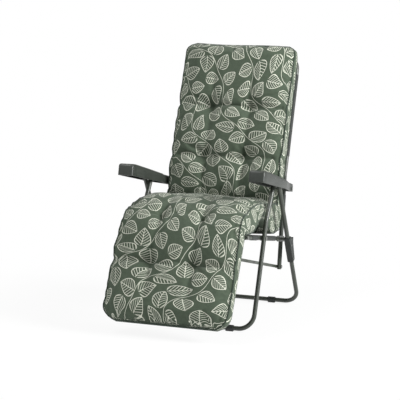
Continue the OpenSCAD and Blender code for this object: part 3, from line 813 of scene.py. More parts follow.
@dataclass(frozen=True)
class Cloth:
    """A woven fabric, plain or with the leaf print, on the piece's own map."""

    name: str
    colour: Colour
    shade: Colour
    print_colour: Optional[Colour] = None
    print_cover: float = 0.9
    print_wear: Pair = (320.0, 0.72)
    yarns: float = 1250.0
    weave_depth: float = 0.00018
    weave_strength: float = 0.7
    sheen: float = 0.1
    roughness: Pair = (0.78, 0.95)
    gap_shade: float = 0.35
    gap_dark: float = 0.45
    fold_depth: float = 0.0
    fold_scale: float = 26.0

    def build(self, effects: Effects) -> Material:
        """Builds the material from the shared shader groups.

        Args:
            effects: The shared shader groups.

        Returns:
            The material.
        """
        material, graph, shader = surface(self.name)
        place = graph.add("ShaderNodeUVMap", uv_map="cloth").outputs[0]
        height, gap, slub = graph.group(effects.weave, Vector=place, Yarns=self.yarns)
        base = graph.mix(graph.band(slub, 0.3, 0.72), self.colour, self.shade)
        if self.print_colour is not None:
            marks, = graph.group(effects.leaves, Vector=place)
            scale, least = self.print_wear
            worn = graph.band(graph.noise(place, scale), 0.25, 0.5, least, 1.0)
            base = graph.mix(marks * worn * self.print_cover, base, self.print_colour)
        dark = (*(value * self.gap_dark for value in self.colour[:3]), 1.0)
        folds = None
        if self.fold_depth:
            folds = bump(graph, graph.noise(place, self.fold_scale, 3.0, 0.5), self.fold_depth)
        graph.feed(shader, Base_Color=graph.mix(gap * self.gap_shade, base, dark),
                   Roughness=graph.band(height, 0.0, 1.0, *self.roughness),
                   Sheen_Weight=self.sheen, Sheen_Roughness=0.5,
                   Normal=bump(graph, height, self.weave_depth, self.weave_strength, folds))
        return material


class Finish(Enum):
    """Every finish of the lounger."""

    POWDER = Skin("powder_coat", srgb(59, 64, 56), srgb(50, 55, 49), (0.32, 0.5),
                  grain_scale=700.0, grain_depth=0.00006, coat=0.15)
    ZINC = Skin("bright_zinc", srgb(150, 152, 148), srgb(120, 122, 120), (0.28, 0.42),
                metallic=0.9, grain_depth=0.00003, dust=0.05)
    FITTING = Skin("fitting_nylon", srgb(40, 44, 42), srgb(34, 38, 37), (0.5, 0.68))
    ARMREST = Skin("armrest_plastic", srgb(55, 59, 55), srgb(48, 52, 48), (0.30, 0.46),
                   grain_scale=520.0, grain_depth=0.00012, dust=0.2)
    PRINTED = Cloth("leaf_cotton", srgb(67, 80, 63), srgb(59, 72, 56), srgb(230, 232, 216),
                    fold_depth=0.0024)
    PIPING = Cloth("piping_cotton", srgb(44, 60, 46), srgb(38, 52, 41), sheen=0.15)
    SLING = Cloth("sling_mesh", srgb(38, 43, 40), srgb(32, 36, 34), yarns=620.0,
                  weave_depth=0.0004, roughness=(0.55, 0.8), gap_shade=0.75)
    THREAD = Skin("tuft_thread", srgb(50, 66, 52), srgb(42, 56, 45), (0.8, 0.95),
                  grain_scale=1600.0, grain_depth=0.0002, dust=0.0)


Materials = dict[Finish, Material]


def dress(obj: Obj, material: Material) -> Obj:
    """Gives an object one material in place of its own.

    Args:
        obj: The object.
        material: The material.

    Returns:
        The same object.
    """
    obj.data.materials.clear()
    obj.data.materials.append(material)
    return obj


def dress_node(name: str, material: Material) -> None:
    """Gives a carried-over solid a finish on each of its material slots.

    Args:
        name: The solid's node.
        material: The finish's material.
    """
    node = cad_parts[name]
    if not node.material_slots:
        node.data.materials.append(material)
    for slot in node.material_slots:
        slot.material = material


# ---------------------------------------------------------------- padded forms


@dataclass
class Ring:
    """One cross-section of a cushion, square to its bed or fanned at a fold."""

    bed: Array
    direction: float
    thick: float
    half: float
    run: float
    drop: float = 0.017


@dataclass
class Tufts:
    """Where a cushion is tufted, and how its tufts and creases draw the top in."""

    rows: Sequence[float]
    weights: Sequence[float]
    column: float = 0.0835
    depth: float = 0.032
    row_reach: float = 0.015
    row_shares: Triple = (0.4, 0.55, 0.1)
    column_reach: float = 0.013
    column_span: float = 0.14
    column_share: float = 0.55
    tuft_reach: float = 0.030
    tuft_power: float = 1.3
    tuft_share: float = 0.72
    ray_height: float = 0.0042
    ray_waves: Triple = (9, 3, 40)
    ray_zone: Pair = (0.012, 0.05)
    tie_turns: Pair = (0.6, -0.9)
    tie_half: float = 0.008
    tie_radius: float = 0.0011
    tie_arch: Pair = (0.0035, 0.0015)

    def sink(self, run: Array, x: Array, half: Array) -> tuple[Array, Array]:
        """Finds how deep the stitching draws the top in.

        Args:
            run: Distances along the bed.
            x: Places across.
            half: The cushion's half width there.

        Returns:
            The depth, and how strongly a crease crosses there.
        """
        beside = np.abs(x) - self.column
        away = run - np.array(self.rows)[:, None]
        weights = np.array(self.weights)[:, None]
        on_row = np.max(weights * np.exp(-np.abs(away) / self.row_reach), axis=0)
        nearest = np.take_along_axis(away, np.abs(away).argmin(axis=0)[None], axis=0)[0]
        near = np.hypot(nearest, beside)
        inner, outer, less = self.row_shares
        outwards = np.clip(beside / (half - self.column), 0, 1)
        crease = on_row * np.where(beside > 0, outer - less * outwards, inner)
        column = np.exp(-(nearest / self.column_span) ** 2 - np.abs(beside) / self.column_reach)
        depth = self.depth * np.maximum(crease, self.column_share * column)
        well = np.exp(-(near / self.tuft_reach) ** self.tuft_power)
        depth += self.depth * self.tuft_share * well
        turns, by_side, by_row = self.ray_waves
        rays = np.sin(turns * np.arctan2(nearest, beside) + by_side * np.sign(x)
                      + by_row * np.round(run - nearest, 3))
        clear, reach = self.ray_zone
        depth += self.ray_height * rays * np.exp(-near / reach) * (1 - np.exp(-near / clear))
        return depth, on_row


@dataclass
class Pucker:
    """The small waves of a gathered rim and the notches that creases pull in it."""

    seed: int
    height: float = 0.003
    rates: tuple[float, ...] = (62, 85, 118, 46, 150, 33)
    gain: float = 1.3
    reach: float = 0.025
    notch: float = 0.010
    notch_reach: float = 0.03
    fades_to: Pair = (0.02, 0.03)

    def ripple(self, run: Array, x: Array) -> Array:
        """Returns the waves' height along a rim, another on each side.

        Args:
            run: Distances along the bed.
            x: Places across.

        Returns:
            The height at each.
        """
        rng = np.random.default_rng(self.seed)
        rates = rng.uniform(0.6, 1.4, len(self.rates)) * np.array(self.rates)
        starts = rng.uniform(0, 6.28, len(self.rates))
        waves = sum(np.sin(run * rate + start + 2.0 * np.sign(x))
                    for rate, start in zip(rates, starts))
        return self.height * self.gain * waves / len(self.rates)


# The cloth solver's settings for a cover that its filling swells.
FILLING = {"quality": 4, "mass": 0.1, "tension_stiffness": 5, "compression_stiffness": 5,
           "shear_stiffness": 5, "bending_stiffness": 0.4, "use_pressure": True,
           "uniform_pressure_force": 8, "vertex_group_mass": "held"}
FILL_FRAMES = 20


@dataclass
class Quilt:
    """A padded form on a bed: rings, a crowned top, piped rims and tufts."""

    name: str
    rings: Sequence[Ring]
    tufts: Tufts
    pucker: Pucker
    slim: float = 0.010
    full_drop: float = 0.06
    side_bow: float = 0.006
    side_steps: int = 8
    bed_in: float = 0.004
    crown: Pair = (2.6, 0.75)
    columns: int = 30
    voxel: float = 0.0075
    holds: Triple = (1.3, 1.4, 0.7)
    first_held: float = 0.05
    cap: float = 0.017
    spare_cloth: float = 0.035
    side_zone: float = 0.014
    under_zone: float = 0.004
    top_zone: float = 0.006
    seam_reach: float = 0.006
    seam_hold: float = 0.75
    low_seam: float = 0.002

    def __post_init__(self) -> None:
        """Keeps the rings' numbers as arrays."""
        self.beds = np.array([r.bed for r in self.rings])
        turns = np.radians([r.direction for r in self.rings])
        self.ups = np.stack([np.cos(turns), np.sin(turns)], axis=1)
        self.thick = np.array([r.thick for r in self.rings])
        self.half = np.array([r.half for r in self.rings])
        self.runs = np.array([r.run for r in self.rings])
        self.drops = np.array([r.drop for r in self.rings])
        self.rim_in = self.slim * 0.6
        tops = self.beds + self.ups * self.thick[:, None]
        self.bed_run, self.top_run = (
            np.concatenate([[0], np.cumsum(np.linalg.norm(np.diff(line, axis=0), axis=1))])
            for line in (self.beds, tops))

    def section(self, index: int) -> Array:
        """Lays out one ring's [x, height] points, over the top and back along the bed.

        Args:
            index: The ring's number.

        Returns:
            One row for each point.
        """
        t, w = self.thick[index] - self.slim, self.half[index] - self.rim_in
        rim = t - self.drops[index] * min(1.0, t / self.full_drop)
        x = np.linspace(-w, w, self.columns + 1)
        crown = (1 - np.abs(x / w) ** self.crown[0]) ** self.crown[1]
        top = np.stack([x, rim + (t - rim) * crown], axis=1)
        k = np.linspace(0, 1, self.side_steps)[1:-1]
        side = np.stack([w + self.side_bow * np.sin(np.pi * k), rim * (1 - k)], axis=1)
        bed_x = np.linspace(w - self.bed_in, -w + self.bed_in, self.columns + 1)
        bed = np.stack([bed_x, np.zeros_like(bed_x)], axis=1)
        other = side[::-1] * np.array([-1, 1])
        return np.concatenate([top, side, bed, other])

    def skin(self) -> Obj:
        """Builds the closed starting form from the rings.

        Returns:
            The form, not yet remeshed.
        """
        rows = [self.section(i) for i in range(len(self.rings))]
        n = len(rows[0])
        points = []
        for i, row in enumerate(rows):
            sides = self.beds[i] + row[:, 1:2] * self.ups[i]
            points.append(np.column_stack([row[:, 0], sides]))
        verts = np.concatenate(points)
        faces: list[Sequence[int]] = []
        for i in range(len(rows) - 1):
            for j in range(n):
                a, b = i * n + j, i * n + (j + 1) % n
                faces.append((a, b, b + n, a + n))
        last = (len(rows) - 1) * n
        faces.append(tuple(range(n - 1, -1, -1)))
        faces.append(tuple(range(last, last + n)))
        obj = mesh_of(self.name, verts, faces)
        mend_normals(obj)
        return obj

    def locate(self, points: Array) -> tuple[Array, Array, Array]:
        """Finds where points are on the cushion.

        Args:
            points: One row of X, Y and Z for each point.

        Returns:
            The ring number with its fraction, the height over the bed and the run.
        """
        side = points[:, 1:3]
        ahead = np.roll(self.beds, -1, axis=0) - self.beds
        ahead[-1] = ahead[-2]
        tangents = np.stack([-self.ups[:, 1], self.ups[:, 0]], axis=1)
        tangents *= np.sign(np.sum(tangents * ahead, axis=1))[:, None]
        signed = side @ tangents.T - np.sum(self.beds * tangents, axis=1)
        last = len(self.rings) - 2
        index = np.clip(np.sum(np.cumprod(signed >= 0, axis=1), axis=1) - 1, 0, last)
        rows = np.arange(len(points))
        d0, d1 = signed[rows, index], -signed[rows, index + 1]
        part = np.clip(d0 / np.maximum(d0 + d1, 1e-9), 0, 1)
        bed = self.beds[index] + (self.beds[index + 1] - self.beds[index]) * part[:, None]
        up = self.ups[index] + (self.ups[index + 1] - self.ups[index]) * part[:, None]
        up /= np.linalg.norm(up, axis=1)[:, None]
        height = np.sum((side - bed) * up, axis=1)
        return index + part, height, self.at(self.runs, index + part)

    def rim_height(self, place: Array) -> Array:
        """Returns the piped rim's height over the bed at ring numbers with fractions.

        Args:
            place: Ring numbers with fractions.

        Returns:
            The height at each.
        """
        thick = self.at(self.thick, place)
        share = np.minimum(1, (thick - self.slim) / self.full_drop)
        return thick - self.at(self.drops, place) * share

    @staticmethod
    def at(values: Array, place: Array) -> Array:
        """Reads ring values, or rows of two, at ring numbers with fractions.

        Args:
            values: One value, or one row of two, for each ring.
            place: Ring numbers with fractions.

        Returns:
            The value, or the row, at each.
        """
        if values.ndim > 1:
            return np.stack([Quilt.at(column, place) for column in values.T], axis=1)
        return np.interp(place, np.arange(len(values)), values)

    def puff(self, obj: Obj) -> None:
        """Swells the form as filled cloth, held at its bed, rims and tufts.

        Args:
            obj: The remeshed form.
        """
        base = coords(obj)
        place, height, run = self.locate(base)
        x = np.abs(base[:, 0])
        rim = self.rim_height(place) - self.slim
        half = self.at(self.half, place) - self.rim_in
        by_rim, by_tuft, by_bed = (self.voxel * reach for reach in self.holds)
        near_rim = np.hypot(x - half, height - rim) < by_rim
        tuft = np.min([np.hypot(run - row, x - self.tufts.column) for row in self.tufts.rows],
                      axis=0) < by_tuft
        held = ((height < by_bed) | near_rim | (tuft & (height > rim))
                | (place < self.first_held))
        group = obj.vertex_groups.new(name="held")
        group.add([int(i) for i in np.nonzero(held)[0]], 1.0, "REPLACE")
        cloth = obj.modifiers.new("filling", "CLOTH")
        for key, value in FILLING.items():
            setattr(cloth.settings, key, value)
        cloth.settings.shrink_min = -self.spare_cloth
        cloth.settings.effector_weights.gravity = 0
        cloth.point_cache.frame_start, cloth.point_cache.frame_end = 1, FILL_FRAMES
        for number in range(1, FILL_FRAMES + 1):
            bpy.context.scene.frame_set(number)
        moved = coords(obj.evaluated_get(bpy.context.evaluated_depsgraph_get())) - base
        far = np.linalg.norm(moved, axis=1)
        moved *= np.minimum(1, self.cap / np.maximum(far, 1e-9))[:, None]
        obj.modifiers.remove(cloth)
        bpy.context.scene.frame_set(1)
        set_coords(obj, base + moved)

    def sewn(self, points: Array) -> Array:
        """Moves points as the tufts, the creases and the puckered rims do.

        Args:
            points: Places on the swollen form or on a seam.

        Returns:
            The moved places.
        """
        points = points.copy()
        place, height, run = self.locate(points)
        half, ups, pucker = self.at(self.half, place), self.at(self.ups, place), self.pucker

        def fading(reach: float) -> Array:
            """Returns 1 at the rims, fading over a reach to either side."""
            return np.exp(-np.abs(np.abs(points[:, 0]) - half) / reach)

        sunk, on_row = self.tufts.sink(run, points[:, 0], half)
        top = smoothstep((height - self.rim_height(place) + self.top_zone) / (2 * self.top_zone))
        drawn = sunk * top * (1 - self.seam_hold * fading(self.seam_reach))
        wave = (pucker.ripple(run, points[:, 0]) * fading(pucker.reach)
                * smoothstep(height / pucker.fades_to[0]))
        points[:, 1:3] += ups * (wave - drawn)[:, None]
        points[:, 0] += np.sign(points[:, 0]) * wave
        notch = on_row * fading(pucker.notch_reach) * smoothstep(height / pucker.fades_to[1])
        points[:, 0] -= np.sign(points[:, 0]) * pucker.notch * notch
        return points

    def map_cloth(self, obj: Obj) -> None:
        """Lays the fabric's map over the top, down the sides and over the two ends.

        Args:
            obj: The swollen form, before its tufts are sewn.
        """
        points = coords(obj)
        place, height, _ = self.locate(points)
        half, rim = self.at(self.half, place), self.rim_height(place)
        below = np.maximum(rim - height, 0)
        x = np.abs(points[:, 0])
        seen = height >= self.under_zone
        at_side = (x > half - self.side_zone) & seen
        u = np.sign(points[:, 0]) * np.where(at_side, np.minimum(x, half) + below, x)
        at_start = (place < 0.5) & seen & ~at_side
        at_end = (place > len(self.rings) - 1.5) & seen & ~at_side
        share = np.where(at_start | at_end, 1, np.clip(height / rim, 0, 1))
        v = self.at(self.bed_run, place) * (1 - share) + self.at(self.top_run, place) * share
        lay_cloth(obj, u, v + below * at_end - below * at_start)

    def rim_line(self, side: int, low: bool) -> Array:
        """Returns a rim's seam from the first ring to the last.

        Args:
            side: The sign of X on the rim's side.
            low: Whether the seam is the one along the bed.

        Returns:
            One row of X, Y and Z for each ring.
        """
        rim = self.rim_height(np.arange(len(self.rings))) - self.slim
        height = np.full(len(rim), self.low_seam) if low else rim
        beside = side * (self.half - self.rim_in)
        return np.column_stack([beside, self.beds + self.ups * height[:, None]])

    def build(self) -> Obj:
        """Makes the finished padded form.

        Returns:
            The form, mapped and shaded, with no modifier left.
        """
        obj = self.skin()
        only(obj)
        obj.data.remesh_voxel_size = self.voxel
        bpy.ops.object.voxel_remesh()
        self.puff(obj)
        self.map_cloth(obj)
        set_coords(obj, self.sewn(coords(obj)))
        obj.modifiers.new("soften", "SUBSURF").levels = 1
        apply_modifiers(obj)
        bpy.ops.object.shade_smooth()
        return settle(obj, self.name)


# ---------------------------------------------------------------- cushions


@dataclass
class Cushion:
    """What the lounger's two cushions have in common."""

    label: str = ""
    nodes: tuple[str, ...] = ()
    bodies: tuple[str, ...] = ()
    seed: int = 0
    half: float = 0.250
    over: float = 0.026
    corner: float = 0.048
    crease_thick: float = 0.160
    crease_place: Pair = (-0.064, 0.172)
    crease_gap: float = 0.0012
    end_shares: Pair = (0.45, 0.55)
    end_round: float = 0.046
    end_gap: float = 0.002

    @property
    def first_turn(self) -> float:
        """Direction of the first ring, up the crease that both cushions share."""
        lean = PROFILE.back_hinge + np.array(self.crease_place) - PROFILE.bed_corner
        return math.degrees(math.atan2(lean[1], lean[0]))

    def end_ring(self, bed: Array, turn: float, thick: float, run: float, left: float,
                 drop: float = 0.017) -> Ring:
        """Makes a ring that a rounded end narrows and thins.

        Args:
            bed: The ring's place on the bed.
            turn: The direction square to the bed.
            thick: The thickness away from the end.
            run: The distance along the bed.
            left: How far it is to the end.
            drop: How far the rim lies under the crown.

        Returns:
            The ring.
        """
        least, more = self.end_shares
        left += self.end_gap
        return Ring(bed, turn, thick * (least + more * ease(left, self.end_round)),
                    rounded_half(left, self.corner, self.half), run, drop)

    def rings(self) -> list[Ring]:
        """Lays the rings from the crease to the far end."""
        raise NotImplementedError

    def stitching(self) -> Tufts:
        """Returns the cushion's rows of tufts."""
        raise NotImplementedError

    def hinge(self) -> tuple[Array, Array]:
        """Returns where the cushion leaves its first body and where it is all on its second."""
        raise NotImplementedError

    def shape(self, quilt: Quilt, piece: Obj) -> None:
        """Gives the cushion, or one of its trims, the way that it hangs."""
        raise NotImplementedError

    def arch_at(self, run: Array) -> Array:
        """Returns how far the sides lift off the bed at a run."""
        return np.zeros_like(run)

    def lift_sides(self, quilt: Quilt, pad: Obj) -> None:
        """Arches the lower part of the sides up off the bed.

        Args:
            quilt: The cushion's form, which tells where each point is.
            pad: The padded form.
        """
        points = coords(pad)
        place, height, run = quilt.locate(points)
        lift = self.arch_at(run) * (np.abs(points[:, 0]) / quilt.at(quilt.half, place)) ** 2
        lift *= np.clip(1 - height / quilt.rim_height(place), 0, 1)
        points[:, 1:3] += quilt.at(quilt.ups, place) * lift[:, None]
        set_coords(pad, points)

    def build(self, materials: Materials) -> list[Obj]:
        """Args:
            materials: The built materials.

        Returns:
            The pieces, the cushion first.
        """
        quilt = Quilt(f"{self.label}_pad", self.rings(), self.stitching(), Pucker(self.seed))
        pad = dress(quilt.build(), materials[Finish.PRINTED])
        self.lift_sides(quilt, pad)
        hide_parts(*self.nodes)
        pieces = [pad, *edge_trims(quilt, self.label, materials, self.arch_at)]
        start, end = ((0.0, *place) for place in self.hinge())
        for piece in pieces:
            self.shape(quilt, piece)
            lift_corner(piece, self.half)
            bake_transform(piece)
        return pieces


@dataclass
class BackCushion(Cushion):
    """The cushion on the back, from the crease to its top edge."""

    label: str = "back"
    nodes: tuple[str, ...] = ("back_cushion",)
    bodies: tuple[str, ...] = ("seat", "back")
    seed: int = 5
    thick: float = 0.087
    rows: Pair = (0.303, 0.522)
    turn_zone: Pair = (0.06, 0.12)
    thin_zone: float = 0.15
    fan: float = 0.42
    drops: Pair = (0.013, 0.034)
    drop_zone: Pair = (0.3, 0.45)
    top_rise: float = 0.014
    top_wave: Pair = (0.18, 7)
    top_zone: float = 0.16
    pieces: int = 64

    def bed(self, run: float) -> tuple[Array, float]:
        """Returns the bed's place at a run along the back, and the direction square to it.

        Args:
            run: The distance up from the back's hinge.

        Returns:
            The place and the direction.
        """
        p = PROFILE
        ahead, reach = self.turn_zone
        turn = blend(p.low_dir, p.up_dir, (run - p.low_len + ahead) / reach) + 90
        if run < p.low_len:
            return p.back_hinge + step(run, p.low_dir) + step(p.bed_off, p.low_dir + 90), turn
        return p.back_bend + step(run - p.low_len, p.up_dir) + step(p.bed_off, p.up_dir + 90), turn

    def rings(self) -> list[Ring]:
        """Lays the rings from the crease to the top.

        Returns:
            The rings in order.
        """
        p = PROFILE
        first = self.first_turn
        start = float((p.bed_corner - p.back_hinge) @ step(1, p.low_dir))
        length = p.low_len + p.up_len + self.over - start
        rings = []
        for i in range(self.pieces + 1):
            s = length * i / self.pieces
            place, square = self.bed(s + start)
            thick = blend(self.crease_thick, self.thick, s / self.thin_zone)
            fanned = first + math.degrees(math.asin(min(1.0, self.fan * s / thick)))
            drop = blend(*self.drops, (s - self.drop_zone[0]) / self.drop_zone[1])
            rings.append(self.end_ring(place + step(self.crease_gap, first - 90),
                                       min(fanned, square), thick, s, length - s, drop))
        return rings

    def stitching(self) -> Tufts:
        """Returns the back's two rows of tufts."""
        return Tufts(self.rows, (1.0, 1.0))

    def hinge(self) -> tuple[Array, Array]:
        """Returns the bed's corner and a place well up the crease."""
        low = PROFILE.bed_corner
        return low, low + step(0.11, 60)

    def shape(self, quilt: Quilt, piece: Obj) -> None:
        """Draws the top edge up at the sitter's right, as the photographed pad hangs.

        Args:
            quilt: The cushion's form.
            piece: The cushion or one of its trims.
        """
        points = coords(piece)
        _, _, run = quilt.locate(points)
        near_top = smoothstep((run - quilt.runs[-1] + self.top_zone) / self.top_zone)
        share = np.clip(0.5 - points[:, 0] / (2 * self.half), 0, 1)
        points[:, 0] = hold_in(points[:, 0])
        high, rate = self.top_wave
        rise = self.top_rise * near_top * (share + high * np.sin(rate * share))
        points[:, 1:3] += step(1, PROFILE.up_dir) * rise[:, None]
        set_coords(piece, points)


@dataclass
class SeatCushion(Cushion):
    """The cushion from the crease over the knee to the end of the footrest."""

    label: str = "seat"
    nodes: tuple[str, ...] = ("seat_cushion", "knee_cushion", "foot_cushion")
    bodies: tuple[str, ...] = ("seat", "footrest")
    seed: int = 9
    corner: float = 0.060
    end_round: float = 0.052
    rail_run: float = 0.463
    seat_thick: float = 0.106
    knee_thick: float = 0.0905
    foot_thick: float = 0.068
    gap_zone: float = 0.1
    turn_zone: float = 0.12
    swell: float = 0.024
    swell_zone: Pair = (0.74, 0.26)
    swell_end: float = 0.022
    thin_share: float = 0.4
    drops: Pair = (0.008, 0.017)
    drop_zone: Pair = (0.2, 0.2)
    arch: float = 0.076
    arch_zone: Pair = (0.55, 0.18)
    row_places: Triple = (0.55, 0.5, 0.36)
    row_weights: Triple = (0.8, 0.2, 0.9)
    spread: float = 0.045
    slipped: float = 0.011
    slip_zone: Pair = (0.6, 0.2)
    pieces: tuple[int, int, int] = (44, 16, 36)

    def __post_init__(self) -> None:
        """Works out the lengths of the bed's three parts."""
        p = PROFILE
        self.begin = float((p.bed_corner - p.back_hinge) @ step(1, p.rail_dir))
        self.length = self.rail_run - self.begin
        self.arc = self.seat_thick * math.radians(p.foot_dir - 90 - (p.rail_dir - 90))
        self.foot = p.foot_len + self.over

    def rings(self) -> list[Ring]:
        """Lays the rings along the seat, round the knee and down the footrest.

        Returns:
            The rings in order.
        """
        p, length = PROFILE, self.length
        on_seat, round_knee, on_foot = self.pieces
        first, flat, bent = self.first_turn, p.rail_dir - 90, p.foot_dir - 90
        rings = []
        for i in range(on_seat + 1):
            s = length * i / on_seat
            place = p.back_hinge + step(self.begin + s, p.rail_dir) + step(p.bed_off, flat)
            gap = step(self.crease_gap, first - 90) * (1 - min(1, s / self.gap_zone))
            peak, reach = self.swell_zone
            swell = self.swell * math.exp(-((s / length - peak) / reach) ** 2)
            thick = blend(self.crease_thick, self.seat_thick, s / length)
            thick += swell * min(1.0, (length - s) / self.swell_end)
            drop = blend(*self.drops, (s - self.drop_zone[0]) / self.drop_zone[1])
            rings.append(Ring(place - gap, blend(first, flat, s / self.turn_zone), thick,
                              self.half, s, drop))
        for i in range(1, round_knee + 1):
            k = i / round_knee
            turn = blend(flat, bent, k)
            rings.append(Ring(p.foot_hinge + step(p.bed_off, turn), turn,
                              blend(self.seat_thick, self.knee_thick, k), self.half,
                              length + self.arc * k))
        for i in range(1, on_foot + 1):
            s = self.foot * i / on_foot
            thick = blend(self.knee_thick, self.foot_thick, s / (self.foot * self.thin_share))
            bed = p.foot_hinge + step(s, p.foot_dir) + step(p.bed_off, bent)
            rings.append(self.end_ring(bed, bent, thick, length + self.arc + s, self.foot - s))
        return rings

    def stitching(self) -> Tufts:
        """Returns the rows of tufts on the seat, at the knee and on the footrest.

        Returns:
            The three rows.
        """
        on_seat, on_knee, on_foot = self.row_places
        return Tufts((self.length * on_seat, self.length + self.arc * on_knee,
                      self.length + self.arc + self.foot * on_foot), self.row_weights)

    def hinge(self) -> tuple[Array, Array]:
        """Returns places on either side of the footrest's hinge.

        Returns:
            The last place on the seat alone and the first on the footrest alone.
        """
        p = PROFILE
        reach = step(0.075, (p.rail_dir + p.foot_dir) / 2)
        return p.foot_hinge - reach, p.foot_hinge + reach

    def shape(self, quilt: Quilt, piece: Obj) -> None:
        """Lets the lower end spread a little and slip to the sitter's right.

        Args:
            quilt: The cushion's form.
            piece: The cushion or one of its trims.
        """
        points = coords(piece)
        _, _, run = quilt.locate(points)
        begin, reach = self.slip_zone
        share = smoothstep((run - self.length - self.arc * begin) / reach)
        x = hold_in(points[:, 0]) * (1 - share) + points[:, 0] * share
        points[:, 0] = x * (1 + self.spread * share) - self.slipped * share
        set_coords(piece, points)

    def arch_at(self, run: Array) -> Array:
        """Returns how far the seat's sides lift off the sling at a run."""
        peak, reach = (self.length * share for share in self.arch_zone)
        return self.arch * np.exp(-((run - peak) / reach) ** 2)


def rounded_half(distance: float, radius: float, half: float) -> float:
    """Returns the half width at a distance from an end with rounded corners.

    Args:
        distance: How far it is to the end.
        radius: The corners' radius.
        half: The half width away from the end.

    Returns:
        The half width there.
    """
    if distance >= radius:
        return half
    return half - radius + math.sqrt(max(0.0, radius ** 2 - (radius - distance) ** 2))


def ease(distance: float, radius: float) -> float:
    """Returns the share of its thickness that a rounding end has.

    Args:
        distance: How far it is to the end.
        radius: How far the rounding reaches.

    Returns:
        The share, 0 at the end and 1 beyond the rounding.
    """
    if distance >= radius:
        return 1.0
    return math.sqrt(max(0.0, 1 - (1 - distance / radius) ** 2))


def hold_in(x: Array, limit: float = 0.2515, reach: float = 0.010) -> Array:
    """Presses a cushion's sides in so that they clear the legs and armrests beside them.

    Args:
        x: Places across.
        limit: The farthest place that is left.
        reach: The width over which the sides are pressed in.

    Returns:
        The places, pressed in.
    """
    past = np.maximum(np.abs(x) - limit + reach, 0)
    return np.sign(x) * (np.abs(x) - past + reach * np.tanh(past / reach))


def lift_corner(piece: Obj, half: float, lift: float = 0.032, reach: float = 0.08,
                direction: float = 117.0) -> None:
    """Draws a cushion's sides up off the frame where the seat meets the back.

    Args:
        piece: A cushion or one of its trims.
        half: The cushion's half width.
        lift: How far a side's corner is drawn up.
        reach: How far round the corner that is felt.
        direction: Where the corner is drawn to, in degrees in the side view.
    """
    points = coords(piece)
    from_corner = points[:, 1:3] - PROFILE.bed_corner
    near = np.exp(-(np.linalg.norm(from_corner, axis=1) / reach) ** 2)
    share = np.minimum(1, np.abs(points[:, 0]) / half) ** 3
    points[:, 1:3] += step(1, direction) * (lift * near * share)[:, None]
    set_coords(piece, points)


# Each seam's label, whether it is along the bed, and the radius of its piping.
SEAMS = (("top", False, 0.0027), ("under", True, 0.002))


def edge_trims(quilt: Quilt, name: str, materials: Materials,
               arch: Callable[[Array], Array]) -> list[Obj]:
    """Makes a cushion's piping and the thread of its tufts.

    Args:
        quilt: The cushion's form.
        name: The start of the pieces' names.
        materials: The built materials.
        arch: How far the lower seam lifts at a run.

    Returns:
        The trim pieces.
    """
    pieces = []
    for label, low, radius in SEAMS:
        sides = []
        for side in (1, -1):
            line = quilt.rim_line(side, low)
            if low:
                place, _, run = quilt.locate(line)
                line[:, 1:3] += quilt.at(quilt.ups, place) * arch(run)[:, None]
            sides.append(line)
        left, right = sides
        end = np.linspace(left[-1], right[-1], 24)[1:-1]
        line = np.concatenate([left, end, right[::-1]])
        piece = trim_along(f"{name}_piping_{label}", line if low else quilt.sewn(line), radius)
        lay_plain(piece)
        pieces.append(dress(piece, materials[Finish.PIPING]))
    pieces.append(dress(tuft_threads(quilt, name), materials[Finish.THREAD]))
    return pieces


def tuft_threads(quilt: Quilt, name: str) -> Obj:
    """Ties a short crossed thread at the bottom of each tuft.

    Args:
        quilt: The cushion's form.
        name: The start of the piece's name.

    Returns:
        The threads as one piece.
    """
    ties, tufts = [], quilt.tufts
    k = np.linspace(-1, 1, 9)[:, None]
    rise, sunk = tufts.tie_arch
    for row in tufts.rows:
        place = np.interp([row], quilt.runs, np.arange(len(quilt.runs)))
        bed, up = quilt.at(quilt.beds, place)[0], quilt.at(quilt.ups, place)[0]
        along = np.array([-up[1], up[0]])
        top = bed + up * (quilt.at(quilt.thick, place)[0] - quilt.slim)
        lift = np.array([[0.0, *up]]) * (rise * (1 - k ** 2) - sunk)
        for side in Side:
            centre = quilt.sewn(np.array([[side.value * tufts.column, *top]]))[0]
            for turn in tufts.tie_turns:
                across = np.array([[math.cos(turn), *(along * math.sin(turn))]]) * tufts.tie_half
                ties.append(trim_along(f"{name}_tie_{len(ties)}", centre + k * across + lift,
                                       tufts.tie_radius))
    piece = joined(ties, f"{name}_tufts")
    lay_plain(piece)
    return piece


def lay_plain(obj: Obj) -> None:
    """Gives a trim a simple fabric map from its own places."""
    points = coords(obj)
    lay_cloth(obj, points[:, 0] + points[:, 1], points[:, 2])


# ---------------------------------------------------------------- slings


